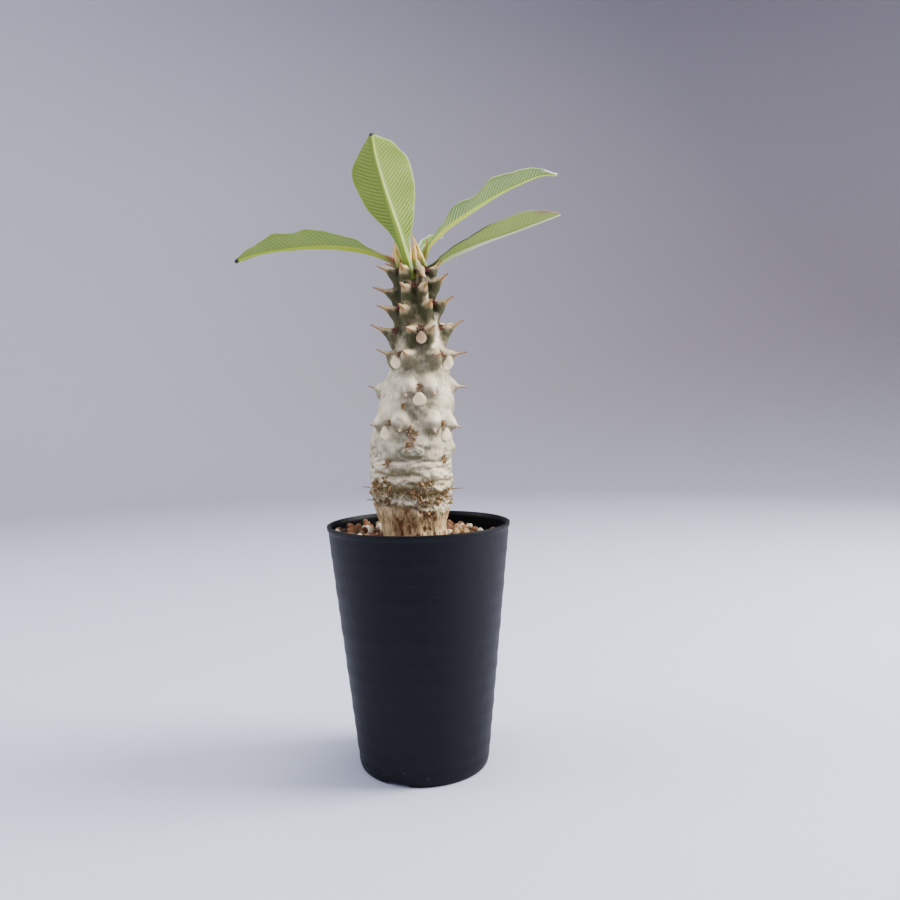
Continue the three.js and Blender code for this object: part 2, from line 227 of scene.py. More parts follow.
class Value:
    """An output of a shader node. Arithmetic and the methods add further nodes behind it."""

    def __init__(self, shader, socket):
        self.shader = shader
        self.socket = socket

    def math(self, operation, *others):
        inputs = dict(enumerate((self, *others)))
        return self.shader.value("ShaderNodeMath", inputs, operation=operation)

    def __add__(self, other):
        return self.math("ADD", other)

    def __sub__(self, other):
        return self.math("SUBTRACT", other)

    def __mul__(self, other):
        return self.math("MULTIPLY", other)

    def step(self, low, high, start=0.0, end=1.0):
        """Remaps low..high to start..end with a smooth step."""
        inputs = {"Value": self, "From Min": low, "From Max": high, "To Min": start, "To Max": end}
        return self.shader.value("ShaderNodeMapRange", inputs, interpolation_type="SMOOTHSTEP")

    def between(self, first, second):
        """The first colour where this is 0 and the second where it is 1."""
        return self.shader.blend(self, first, second)

    def painted(self, share, colour):
        """This colour with a share of another laid over it."""
        return self.shader.blend(share, self, colour)


class Shader:
    """A principled material under construction. Sizes in its textures are in millimetres."""

    def __init__(self, name):
        self.material = bpy.data.materials.new(name)
        self.material.use_nodes = True
        self.tree = self.material.node_tree
        self.surface = self.tree.nodes["Principled BSDF"]
        place = self.value("ShaderNodeTexCoord", output="Object")
        self.place = self.value("ShaderNodeVectorMath", {0: place, "Scale": 1 / MM}, operation="SCALE")

    def node(self, kind, inputs=None, **settings):
        made = self.tree.nodes.new(kind)
        for key, value in settings.items():
            setattr(made, key, value)
        for key, value in (inputs or {}).items():
            self.feed(made.inputs[key], value)
        return made

    def value(self, kind, inputs=None, output=0, **settings):
        return Value(self, self.node(kind, inputs, **settings).outputs[output])

    def feed(self, socket, value):
        if isinstance(value, Value):
            self.tree.links.new(value.socket, socket)
        elif isinstance(value, tuple) and socket.type == "RGBA":
            socket.default_value = (*value, 1)
        else:
            socket.default_value = value

    def set(self, **inputs):
        for key, value in inputs.items():
            self.feed(self.surface.inputs[key.replace("_", " ")], value)

    def mask(self, name):
        return self.value("ShaderNodeAttribute", output="Fac", attribute_name=name)

    def axis(self, letter, vector=None):
        return self.value("ShaderNodeSeparateXYZ", {0: vector or self.place}, letter)

    def cloud(self, size, detail=3, stretch=None, roughness=0.55):
        """Soft noise with features size mm wide, drawn out along the axes whose stretch is below 1."""
        place = self.place
        if stretch:
            place = self.value("ShaderNodeVectorMath", {0: place, 1: stretch}, operation="MULTIPLY")
        inputs = {"Vector": place, "Scale": 1 / size, "Detail": detail, "Roughness": roughness}
        return self.value("ShaderNodeTexNoise", inputs, "Fac")

    def cells(self, size):
        """Distance from the middles of scattered cells size mm wide."""
        return self.value("ShaderNodeTexVoronoi", {"Vector": self.place, "Scale": 1 / size}, "Distance")

    def blend(self, share, first, second):
        made = self.node("ShaderNodeMix", data_type="RGBA")
        self.feed(made.inputs["Factor"], share)
        self.feed(made.inputs[6], first)
        self.feed(made.inputs[7], second)
        return Value(self, made.outputs[2])

    def bump(self, height, depth, before=None):
        """Bump of a height texture, depth in millimetres, on top of an earlier bump."""
        inputs = {"Height": height, "Distance": depth * MM, "Strength": 1}
        if before:
            inputs["Normal"] = before
        return self.value("ShaderNodeBump", inputs, "Normal")


# Pot

POT_HEIGHT = 139.8
RIM_RADIUS = 52.49
RIM_BAND_HEIGHT = 2.6
RIM_BAND_STEP = 0.5
TAPER_RADIUS = 38.5
TAPER_HEIGHT = 8.3
FOOT_RADIUS = 35.7
WALL_THICKNESS = 1.5
FLOOR_THICKNESS = 4
# Faint rings of the wall: height, how far it swells, and half its height
WALL_RINGS = [
    [14, 0.32, 3.4], [25, 0.26, 3.6], [35, 0.36, 4], [47, 0.28, 4.2], [58, 0.40, 4], [69, 0.24, 3.6],
    [81, 0.38, 4.2], [92, 0.26, 3.6], [103, 0.36, 4.2], [114, 0.24, 3.6], [124, 0.30, 3.6],
    [132, 0.16, 3],
]
GROOVE_TURNS = [-25, 95, 215]
GROOVE_WIDTH = 14
GROOVE_DEPTH = 2
GROOVE_START = 16
HOLE_RADIUS = 4
HOLE_REACH = 25
POT_SIDES = 160
POT_SHARP_ANGLE = 35
RIM_LIP_ROUND = 0.35
GROOVE_EDGE_ROUND = 0.7
UNDERSIDE_REACHES = (2, 8, 14, 20, 26, 31, FOOT_RADIUS - 1)
FLOOR_REACHES = (28, 20, 12, 5)
FOOT_STEPS = 10
LIP_STEPS = 8
WALL_STEP = 1.6
INSIDE_STEP = 6


def wall_radius(height):
    """Outer radius of the wall, without the rim band and the rings."""
    share = (height - TAPER_HEIGHT) / (POT_HEIGHT - TAPER_HEIGHT)
    return mix(TAPER_RADIUS, RIM_RADIUS, share)


def inner_radius(height):
    return wall_radius(height) - RIM_BAND_STEP - WALL_THICKNESS


def pot_profile():
    """Radius and height from the middle of the underside, round the rim, to the middle of the floor."""
    profile = [(reach, 0) for reach in UNDERSIDE_REACHES]
    corner_reach = wall_radius(TAPER_HEIGHT) - RIM_BAND_STEP - FOOT_RADIUS
    for i in range(FOOT_STEPS + 1):
        angle = i / FOOT_STEPS * math.pi / 2
        rise = TAPER_HEIGHT * (1 - math.cos(angle))
        profile.append((FOOT_RADIUS + corner_reach * math.sin(angle), rise))
    band_foot = POT_HEIGHT - RIM_BAND_HEIGHT
    for height in np.arange(TAPER_HEIGHT + WALL_STEP, band_foot - 0.2, WALL_STEP):
        swell = sum(size * bell(height - middle, half) for middle, size, half in WALL_RINGS)
        profile.append((wall_radius(height) - RIM_BAND_STEP + swell, height))
    profile.append((wall_radius(band_foot) - 0.36, band_foot - 0.3))
    profile.append((RIM_RADIUS - 0.16, band_foot + 0.3))
    lip_inside = RIM_RADIUS - RIM_BAND_STEP - WALL_THICKNESS
    lip_middle = (RIM_RADIUS + lip_inside) / 2
    lip_half = (RIM_RADIUS - lip_inside) / 2
    for i in range(LIP_STEPS + 1):
        angle = i / LIP_STEPS * math.pi
        reach = lip_middle + lip_half * math.cos(angle)
        profile.append((reach, POT_HEIGHT - RIM_LIP_ROUND + RIM_LIP_ROUND * math.sin(angle)))
    for height in np.arange(POT_HEIGHT - 3, FLOOR_THICKNESS + 2, -INSIDE_STEP):
        profile.append((inner_radius(height), height))
    profile.append((inner_radius(FLOOR_THICKNESS) - 0.3, FLOOR_THICKNESS + 0.5))
    profile.append((inner_radius(FLOOR_THICKNESS) - 1.2, FLOOR_THICKNESS))
    profile += [(reach, FLOOR_THICKNESS) for reach in FLOOR_REACHES]
    return profile


def groove_cutter(turn):
    """A groove out to the foot's edge with rounded shoulders, and the drain hole in it, as one mesh."""
    cutter = bmesh.new()
    length = FOOT_RADIUS + TAPER_HEIGHT - GROOVE_START
    shape = Matrix.Rotation(math.radians(turn), 4, "Z")
    box = bmesh.ops.create_cube(cutter, size=1)["verts"]
    scale = Matrix.Diagonal((GROOVE_WIDTH * MM, length * MM, GROOVE_DEPTH * 2 * MM, 1))
    place = Matrix.Translation((0, -(GROOVE_START + length / 2) * MM, 0))
    bmesh.ops.transform(cutter, matrix=shape @ place @ scale, verts=box)
    bmesh.ops.bevel(cutter, geom=cutter.edges[:], offset=GROOVE_EDGE_ROUND * MM, segments=3, affect="EDGES")
    hole = bmesh.ops.create_cone(
        cutter, cap_ends=True, segments=32, radius1=HOLE_RADIUS * MM, radius2=HOLE_RADIUS * MM,
        depth=FLOOR_THICKNESS * 3 * MM)["verts"]
    place = Matrix.Translation((0, -HOLE_REACH * MM, (FLOOR_THICKNESS * 1.5 + 1) * MM))
    bmesh.ops.transform(cutter, matrix=shape @ place, verts=hole)
    mesh = bpy.data.meshes.new("cutter")
    cutter.to_mesh(mesh)
    cutter.free()
    return add_object("cutter", mesh)


def pot_material():
    """Dark satin plastic with dust in drawn-out rings and scuffs near the foot; its inside wall is painted
    near black as painted shade.
    """
    shader = Shader("pot plastic")
    low_sheen = shader.cloud(9, 4)
    streaks = shader.cloud(1.4, 3, (1, 1, 6))
    scuffs = shader.cloud(3.2, 5, (1, 1, 2.5)).step(0.60, 0.74) * shader.axis("Z").step(26, 4)
    ring_dust = shader.cloud(2.0, 4, (0.22, 0.22, 2.2)).step(0.62, 0.76)
    inside = shader.mask("inside")
    colour = low_sheen.between((0.0012, 0.0015, 0.0034), (0.0026, 0.0030, 0.0060))
    colour = colour.painted(ring_dust * 0.16, (0.045, 0.050, 0.060))
    colour = colour.painted(scuffs * 0.35, (0.06, 0.065, 0.075))
    # Painted shade: the inside wall is painted near black, as the pot's hollow lies in shade
    colour = colour.painted(inside, (0.0006, 0.0006, 0.0009))
    roughness = streaks.step(0.25, 0.75, 0.46, 0.60).math("MAXIMUM", inside)
    grain = shader.bump(shader.cloud(0.35, 2), 0.02)
    shader.set(Base_Color=colour, Roughness=roughness, Specular_IOR_Level=0.17)
    shader.set(Normal=shader.bump(low_sheen, 0.25, before=grain))
    return shader.material


def make_pot():
    profile = pot_profile()
    rings = [ring(reach, height, POT_SIDES) for reach, height in profile]
    vertices = np.concatenate([*rings, [[0, 0, 0], [0, 0, FLOOR_THICKNESS]]])
    faces = closed_faces(len(profile), POT_SIDES)
    height = vertices[:, 2]
    reach = np.hypot(vertices[:, 0], vertices[:, 1])
    high = (height > FLOOR_THICKNESS - 0.1) & (height < POT_HEIGHT - 1.5)
    # inside marks the inner wall, which the material paints near black as the pot's shade
    inside = (high & (reach < inner_radius(height) + 0.3)).astype(float)
    pot = piece("pot_shell", vertices, faces, pot_material(), "pot", {"inside": inside})
    for turn in GROOVE_TURNS:
        cutter = groove_cutter(turn)
        modifier = pot.modifiers.new("groove", "BOOLEAN")
        modifier.operation = "DIFFERENCE"
        modifier.solver = "EXACT"
        modifier.object = cutter
        apply_modifiers(pot)
        bpy.data.objects.remove(cutter)
    pot.data.set_sharp_from_angle(angle=math.radians(POT_SHARP_ANGLE))


make_pot()


# Stem: distances on a grid, from which its skin is drawn

# Height, radius, and how far its middle lies to the right of the pot's axis
STEM_OUTLINE = np.array([
    [88, 9, -2], [96, 13.5, -2], [128, 17.4, -2], [134, 18, -2.2], [140, 18.3, -3.1],
    [146, 20.6, -3.3], [152, 21.4, -3.4], [158, 23.2, -3.2], [175, 23.1, -3.4], [187, 23.4, -2.8],
    [198, 21.8, -1.1], [209, 21.2, 0.8], [215, 19.8, 0.9], [221, 18.3, 1.4], [227, 17.2, 2.7],
    [244, 16.4, 3.2], [255, 14.8, 2.9], [266, 13.2, 1.9], [277, 12, 1.2], [283, 10.6, -0.1],
    [288, 7.4, -0.5],
])
CROWN_HEIGHT = 288
STEM_STEP = 0.665
SKIN_REACH = 33.5
SKIN_LOW, SKIN_HIGH = 86, 296
# The skin lies deeper between the young shoulders: heights where that sets in and where it ends
GAP_DEPTH = 3.2
GAPS_OPEN = (222, 250)
GAPS_CLOSE = (292, 280)
# Heights between which the roughness of the folds fades, and its crumbs
FOLDS_FADE = (188, 168)
CRUMBS_FADE = (172, 160)
CROWN_DOME = np.array([-0.5, 0, 285.5])
CROWN_DOME_RADII = (6.6, 6.6, 5.2)
CROWN_BLEND = 2.5
# How far from the surface the relief and the unevenness are worked out
RELIEF_REACH = 5
UNEVEN_REACH = 4

# Shoulders: turn to the right in degrees, height, lifts of the left and the right spine, their length.
# A spine without a lift has broken off at the front, and its copy at the back has the plain lift.
SHOULDERS = [
    [45, 196.3, -38, -18, 8.2], [-36.5, 197.4, -6, -42, 7.3], [4.3, 216.9, -52, -46, 7],
    [111, 218, -8, -12, 10.5], [-111, 216, 18, 18, 8.6], [-43, 235.7, 15, 5, 10.5],
    [47, 235.4, -5, 3, 11.8], [2, 249.8, -2, 4, 7.8], [56.5, 250.7, None, 18, 11.3],
    [-64, 249.4, 17, None, 12.6], [-47.8, 261.7, 8, 3, 10.3], [45.3, 264, 3, 21, 9.7],
    [-2.3, 273.4, 8, 10, 7], [90, 276.6, 20, 36, 9.5], [-104, 272.3, 8, 6, 11.9],
    [-48, 283.6, 11, 5, 10], [53, 283, -42, 40, 10.3],
]
BACK_TURN_LIMIT = 75
BACK_RISE = 0.05
BACK_CLOSER = 0.64
BACK_LENGTH = 0.82
PLAIN_LIFT = 6
YOUNG_FROM, YOUNG_BY = 200, 262
GREEN_FROM, GREEN_BY = 218, 264
# Measures of an old spine and of a young one
SPINE_HALF_SPREAD = (6.4, 4.6)
SPINE_SPLAY = (14, 8)
SPINE_ROOT = (2.6, 3.4)
SPINE_THORN = (1.2, 1.75)
SPINE_DROP = (-0.6, 3.0)
SPINE_BEND = (0.2, 1.0)
SPINE_TIP = 0.22
WOOD_START = (0.58, 0.48)
WOOD_OVERLAP = 0.2
# The swelling under a spine, old and young, and how much plumper one is at medium height
KNUCKLE_DEPTH = (0.2, 3.0)
KNUCKLE_RISE = (0.5, -6.5)
KNUCKLE_RADII = ((4.4, 3.2), (4.9, 3.0), (5.2, 6.8))
PLUMP_DEPTH = -1.2
PLUMP_RISE = 0.8
PLUMP_RADII = (1.3, 0.6, -0.8)
PLUMP_YOUTH, PLUMP_SPAN = 0.7, 0.2
# How softly knuckles and spines join the stem, old and young, and how far each one reaches
KNUCKLE_BLEND = (2.4, 1.6)
SPINE_BLEND = (2.8, 1.5)
KNUCKLE_REACH = 12
SPINE_REACH = 15
# Leaf scars that the photograph shows: turn, height, half width, half height
FRONT_SCARS = [
    [53.1, 189.7, 3.3, 3.1], [-39.4, 191.5, 3.0, 2.8], [3.7, 209.8, 3.9, 3.0], [-49.5, 230.7, 3.1, 3.1],
    [61, 229.7, 3.0, 3.5], [3.1, 243.6, 2.9, 2.9],
]
SCAR_HIGHEST = 253
# Pads at the sides of the photograph face the camera more than the stem's skin does
SCAR_FACING = 0.6
SCAR_LIFT = -8
SCAR_HALF_THICKNESS = 1.3
SCAR_EDGE_ROUND = 0.5
SCAR_BLEND = 0.7
SCAR_REACH = 8
# Scars of the back: how far below an old and a young shoulder, half width and half height
SCAR_DROP = (6.4, 5.4)
BACK_SCAR = (3.1, 3.1)
# Darker skin, partly worn stains and partly painted shade on the flanks under the shoulders: turn, height,
# half width, half height, strength
STAINS_AND_SHADE = [
    [-34, 159.8, 13, 3.0, 1.5], [6, 158.6, 12, 2.6, 1.4], [42, 156.2, 10, 2.6, 1.3],
    [-58, 158, 8, 5, 1.2], [-14, 170.4, 8, 1.6, 1.2], [-4, 192, 3, 2.4, 0.8], [-26, 196, 5, 2.2, 0.7],
    [30, 196, 5, 2.2, 0.7], [-64, 237, 5, 4.2, 1.2], [-86, 249.5, 3.4, 4, 1.0], [-52, 248.5, 5, 5, 1.0],
    [88, 249, 5, 4.5, 1.1], [88, 234, 4, 4, 0.9], [60, 262, 4, 5, 0.8], [-60, 270.5, 2.0, 7, 1.1],
    [-0.6, 279.6, 2.2, 4.5, 1.1], [-3.7, 266.2, 4.5, 3.0, 1.0], [32, 258.2, 3.0, 4, 1.0],
    [22, 248.2, 3.0, 3.4, 1.0], [31, 235, 3.6, 4, 1.1], [-68, 281, 2.4, 3, 1.0],
    [22, 281, 4.0, 6.5, 0.75], [2, 226, 10, 5, 0.9], [29, 226, 6, 5, 0.7], [-28, 225.5, 5, 4, 0.8],
    [-14, 224.5, 8, 4.5, 0.8], [-3, 203, 8, 6, 0.8], [29.8, 190.9, 3.6, 3.4, 1],
    [-17, 189.3, 6, 2.6, 0.7], [-6, 177.3, 10, 1.8, 0.8], [-13, 170.0, 9, 3.4, 0.9],
    [-10, 161.0, 15, 4.2, 1], [36, 163.8, 7, 1.3, 1], [-57, 162, 5, 4, 1], [34.7, 230.1, 4, 4.5, 0.8],
    [-22, 229.5, 4, 5, 0.6], [2.3, 237.3, 5.5, 3, 0.6], [-20, 241.4, 3.5, 5, 1], [22, 243, 3.5, 4, 1],
    [24, 258, 4.5, 5, 0.9], [-52, 248, 3, 3, 1.2], [-40, 245, 2.5, 3, 1.0], [-13, 244, 7, 4, 1.2],
    [-11, 207, 3.6, 2, 0.9], [19, 207, 3.6, 2, 0.9], [-60, 224, 5, 5, 0.4], [30, 157, 6, 1.6, 0.8],
    [110, 205, 9, 6, 0.6], [180, 204, 9, 7, 0.7], [-120, 200, 8, 6, 0.6], [150, 172, 14, 4, 0.8],
    [-140, 162, 15, 4, 0.9], [100, 161, 14, 4, 0.9], [178, 226, 7, 5, 0.7],
]
# Paler skin, partly where the waxy bloom is whole and partly painted highlight on lit bulges: turn, height,
# half width, half height, strength
PALE_AND_LIT_SPOTS = [
    [-10, 219, 4.2, 3.4, 0.9], [19, 219, 4.2, 3.4, 0.9], [-53, 200, 4, 3, 0.8], [-20, 200, 4, 3, 0.8],
    [28, 199, 4, 3, 0.8], [61, 199, 4, 3, 0.8], [52, 252, 1.7, 7, 1.2], [45, 241.5, 3.2, 3.2, 1.0],
    [30, 240, 3.5, 2, 1.0], [32, 267, 2.6, 2.4, 1.2], [49, 206, 6, 13, 0.6], [-54, 205, 6, 12, 0.5],
    [11.7, 185.8, 7, 2.2, 1], [-11.5, 174.8, 6, 2.2, 0.9], [41.5, 168.4, 6, 2.8, 1],
    [-10.6, 165.2, 4.5, 1.6, 1], [-12.9, 155.2, 7, 2.0, 1], [52.6, 148.5, 5, 3.6, 0.9],
    [34.6, 160.3, 5, 2.0, 1], [40, 179, 8, 1.6, 0.7], [-50, 176, 7, 5, 0.5], [170, 190, 9, 5, 0.6],
    [-120, 185, 8, 5, 0.6], [120, 188, 8, 5, 0.6],
]
# Worn scars in the folded part: turn, height, width, height of the scar
OLD_SCARS = [
    [3, 181.2, 14, 6.6], [62, 178, 7, 5], [-62, 181, 7, 5], [118, 180, 9, 6], [180, 177, 12, 7],
    [-122, 181, 9, 6],
]
SCAR_WARP = 0.34
OLD_SCAR_RINGS = 5 * math.pi
# Creases between the folds: turn of the middle, half the span, height, rise per 10 degrees, depth
# and half width
CREASES = [
    [-22, 36, 176.4, 0.1, 0.8, 0.8], [-25, 40, 168.4, -0.1, 1.0, 1.2], [-30, 46, 159.6, -0.3, 1.5, 1.9],
    [32, 34, 175.4, 0.2, 0.6, 0.7], [30, 30, 171.6, -0.1, 0.4, 0.5], [38, 48, 164.2, 0.2, 0.9, 0.9],
    [44, 40, 157.0, 0.3, 1.2, 1.4], [-100, 40, 172, 0.2, 1.0, 1.0], [-105, 40, 163, 0, 1.2, 1.2],
    [105, 40, 169, 0.3, 1.1, 1.0], [110, 46, 159, -0.2, 1.3, 1.4], [170, 50, 175, 0, 1.1, 1.1],
    [185, 50, 166, 0.2, 1.2, 1.2], [175, 50, 158, -0.2, 1.4, 1.6], [-140, 40, 178, 0, 0.9, 0.9],
    [120, 36, 178, 0.1, 0.8, 0.8],
]
# Swellings of the folds: turn, height, half width, half height, how proud
SWELLINGS = [
    [14, 185.5, 9, 3.4, 0.9], [-22, 182, 8, 4, 0.6], [-16, 163.6, 9, 2.6, 0.8],
    [-14, 152.8, 7, 2.4, 1.3], [36, 167.8, 8, 2.8, 0.9], [38, 160.4, 8, 2.4, 0.9],
    [32, 180.0, 8, 2.0, 0.6], [52, 148.5, 7, 3.4, 1.1], [86, 182.4, 5, 3.2, 2.0], [-58, 153, 7, 3, 0.9],
    [140, 163, 9, 3, 0.9], [-150, 170, 9, 3, 0.9], [170, 153, 8, 3, 1.0], [-100, 152, 8, 3, 0.9],
    [105, 152, 8, 3, 0.9],
]


def stem_at(height):
    """Radius and middle of the stem at a height, along a smooth curve through its outline."""
    keys = STEM_OUTLINE[:, 0]
    result = []
    for column in (1, 2):
        values = STEM_OUTLINE[:, column]
        slope = np.gradient(values, keys)
        i = np.clip(np.searchsorted(keys, height) - 1, 0, len(keys) - 2)
        span = keys[i + 1] - keys[i]
        t = np.clip((height - keys[i]) / span, 0, 1)
        start = values[i] * (2 * t**3 - 3 * t**2 + 1) + slope[i] * span * (t**3 - 2 * t**2 + t)
        end = values[i + 1] * (3 * t**2 - 2 * t**3) + slope[i + 1] * span * (t**3 - t**2)
        result.append(start + end)
    return result


def on_stem(turn, height, lift=0.0):
    radius, middle = stem_at(height)
    return around(turn, radius + lift, height) + np.array([middle, 0, 0])


def in_spot(turn, height, radius, middle, at, half_width, half_height):
    """Where skin points lie in a spot of the stem, across and upwards, 1 at its edge."""
    across = turn_gap(turn, middle) * np.radians(radius) / half_width
    return across, (height - at) / half_height


def youth(height):
    """0 for the old shoulders low on the stem and 1 for the young ones at the crown."""
    return float(smooth(YOUNG_FROM, YOUNG_BY, height))


def bark_line(turn):
    """Height where the smooth skin ends and the fissured bark begins."""
    right_side = smooth(10, 60, np.abs(turn_gap(turn, 40)))
    return mix(145.5, 151.5, right_side) + 0.8 * np.sin(np.radians(3 * turn + 40))


def bark_pits(turn, height):
    """Rust-brown pits of the bark, taller than wide, from 0 to 1."""
    place = np.stack([turn * 0.27, height * 0.42, turn * 0], -1)
    return smooth(0.60, 0.70, 0.7 * noise(place, 1.7, 13) + 0.3 * noise(place, 0.6, 14))


def bark_relief(turn, height, place):
    """Fissures, flutes and pits of the bark."""
    grain_place = np.stack([turn * 0.42, height * 0.10, place[..., 0] * 0], -1)
    ridged = np.abs(2 * noise(grain_place, 1.9, 3) - 1)
    fine = np.abs(2 * noise(grain_place * np.array([2.3, 1.6, 1]), 1.9, 4) - 1)
    fissures = -0.6 * bell(ridged, 0.14) - 0.3 * bell(fine, 0.18)
    flutes = 0.7 * np.cos(np.radians(8 * turn + 18 * np.sin(height / 6)))
    return fissures + flutes - 0.6 * bark_pits(turn, height)


def stem_relief(turn, height, place):
    """How far the skin stands out from the plain outline, without its shoulders."""
    relief = 1.0 * (noise(place, 9, 1) - 0.5) + 0.35 * (noise(place, 3.2, 2) - 0.5)
    relief = relief - GAP_DEPTH * smooth(*GAPS_OPEN, height) * smooth(*GAPS_CLOSE, height)
    radius = stem_at(height)[0]
    line = bark_line(turn)
    relief = relief + smooth(line + 1.5, line - 2, height) * bark_relief(turn, height, place)
    folds = smooth(line - 1, line + 1.5, height)
    rough = smooth(*FOLDS_FADE, height) * folds
    flattened = place * np.array([1, 1, 2.2])
    relief = relief + rough * 0.9 * (noise(flattened, 4.4, 7) - 0.5)
    relief = relief + rough * 0.6 * (noise(flattened, 2.0, 9) - 0.5)
    relief = relief + rough * smooth(*CRUMBS_FADE, height) * 1.7 * (noise(place, 1.5, 8) - 0.5)
    for middle, half_span, at, rise, depth, width in CREASES:
        gap = turn_gap(turn, middle)
        wander = 0.5 * np.sin(np.radians(gap * 7 + at * 40)) + rise * gap / 10
        fade = smooth(half_span * 1.15, half_span * 0.7, np.abs(gap))
        relief = relief - folds * depth * fade * bell(height - at - wander, width)
    for *spot, proud in SWELLINGS:
        across, up = in_spot(turn, height, radius, *spot)
        relief = relief + proud * np.exp(-(across**2 + up**2))
    for middle, at, width, tall in OLD_SCARS:
        across, up = in_spot(turn, height, radius, middle, at, width / 2, tall / 2)
        far = np.hypot(across, up) + SCAR_WARP * (noise(place, 2.2, 6) - 0.5)
        rings = 0.75 * (1 - far**2) + 0.3 * np.cos(far * OLD_SCAR_RINGS)
        relief = relief + np.where(far < 1, rings, 0) - 0.55 * bell(far - 1.12, 0.16)
    threads = noise(np.stack([turn * 0.9, height * 0.16, place[..., 0] * 0], -1), 1.0, 5) - 0.5
    return relief + 0.28 * smooth(line, line + 8, height) * threads


def smooth_min(first, second, blend):
    share = np.maximum(blend - np.abs(first - second), 0) / blend
    return np.minimum(first, second) - share * share * blend / 4


class Field:
    """Distances to a surface on a regular grid, negative inside."""

    def __init__(self, low, high, step):
        self.low, self.step = np.asarray(low, float), step
        self.shape = tuple(np.ceil((np.asarray(high) - self.low) / step).astype(int) + 1)
        self.value = np.full(self.shape, 99.0, np.float32)

    def window(self, centre, reach):
        """The slices and the points of the grid within reach of a centre."""
        start = np.floor((np.asarray(centre) - reach - self.low) / self.step).astype(int)
        end = np.ceil((np.asarray(centre) + reach - self.low) / self.step).astype(int) + 1
        start, end = np.clip(start, 0, self.shape), np.clip(end, 0, self.shape)
        axes = [self.low[i] + self.step * np.arange(start[i], end[i]) for i in range(3)]
        points = np.stack(np.meshgrid(*axes, indexing="ij"), -1)
        return tuple(slice(start[i], end[i]) for i in range(3)), points

    def join(self, centre, reach, blend, distance):
        """Joins a shape, given as a function of points, to the surface with a soft seam."""
        part, points = self.window(centre, reach)
        self.value[part] = smooth_min(self.value[part], distance(points), blend)

    def sample(self, points):
        where = (points - self.low) / self.step
        where = np.clip(where, 0, np.array(self.shape) - 1.001)
        low = where.astype(int)
        part = where - low
        total = 0.0
        for corner, weight in corner_weights(part):
            cell = low + corner
            total = total + weight * self.value[cell[:, 0], cell[:, 1], cell[:, 2]]
        return total

    def slope(self, points):
        """Direction in which the distance grows, and how fast."""
        axes = np.eye(3) * self.step * 0.7
        parts = [self.sample(points + axis) - self.sample(points - axis) for axis in axes]
        gradient = np.stack(parts, -1) / (1.4 * self.step)
        return gradient, np.linalg.norm(gradient, axis=1, keepdims=True) + 1e-6

    def skin(self):
        """Points and four-cornered faces of the surface where the distance is zero."""
        inside = self.value < 0
        cells = tuple(n - 1 for n in self.shape)
        count = np.zeros(cells, np.int8)
        for i, j, k in CELL_CORNERS:
            count += inside[i:cells[0] + i, j:cells[1] + j, k:cells[2] + k]
        active = np.argwhere((count > 0) & (count < 8))
        index = np.full(cells, -1, np.int64)
        index[tuple(active.T)] = np.arange(len(active))
        values = np.stack([self.value[tuple((active + corner).T)] for corner in CELL_CORNERS], 1)
        total, hits = np.zeros((len(active), 3)), np.zeros((len(active), 1))
        for a, b in itertools.combinations(range(8), 2):
            start, end = np.array(CELL_CORNERS[a]), np.array(CELL_CORNERS[b])
            if np.abs(end - start).sum() != 1:
                continue
            crossed = (values[:, a] < 0) != (values[:, b] < 0)
            share = values[crossed, a] / (values[crossed, a] - values[crossed, b])
            total[crossed] += start + share[:, None] * (end - start)
            hits[crossed] += 1
        vertices = self.low + self.step * (active + total / hits)
        quads = []
        for axis in range(3):
            first, second = (axis + 1) % 3, (axis + 2) % 3
            ahead = np.roll(inside, -1, axis)
            crossing = np.argwhere(inside != ahead)
            keep = crossing[:, axis] < cells[axis]
            for other in (first, second):
                keep &= (crossing[:, other] > 0) & (crossing[:, other] < cells[other])
            crossing = crossing[keep]
            around_edge = []
            for step_first, step_second in ((1, 1), (0, 1), (0, 0), (1, 0)):
                cell = crossing.copy()
                cell[:, first] -= step_first
                cell[:, second] -= step_second
                around_edge.append(index[tuple(cell.T)])
            quad = np.stack(around_edge, -1)
            leaving = inside[tuple(crossing.T)]
            quad[~leaving] = quad[~leaving][:, ::-1]
            quads.append(quad)
        return vertices, np.concatenate(quads)

    def settle(self, vertices, rounds=2):
        """Moves points onto the surface itself."""
        for _ in range(rounds):
            gradient, size = self.slope(vertices)
            away = np.clip(self.sample(vertices)[:, None] / size, -self.step, self.step)
            vertices = vertices - away * gradient / size
        return vertices


def ellipsoid(centre, axes, radii):
    """Distance function of an ellipsoid whose axes are the rows of axes."""
    axes, radii = np.asarray(axes), np.asarray(radii, float)

    def distance(points):
        local = (points - centre) @ axes.T / radii
        far = np.linalg.norm(local, axis=-1)
        return far * (far - 1) / (np.linalg.norm(local / radii, axis=-1) + 1e-6)
    return distance


# Spines


def all_shoulders():
    """The front shoulders, and their mirror at the back, closer together and a little higher."""
    random = seeded_random(7)
    shoulders = [tuple(row) for row in SHOULDERS]
    for turn, height, left_lift, right_lift, length in SHOULDERS:
        if abs(turn) > BACK_TURN_LIMIT:
            continue
        back_turn = 180 - BACK_CLOSER * turn + 8 * (random() - 0.5)
        back_height = height + BACK_RISE * (height - 200) + random() - 0.5
        back_lift = 8 * (random() - 0.5)
        lifts = [back_lift + (PLAIN_LIFT if lift is None else lift) for lift in (left_lift, right_lift)]
        shoulders.append((back_turn, back_height, *lifts, length * BACK_LENGTH))
    return shoulders


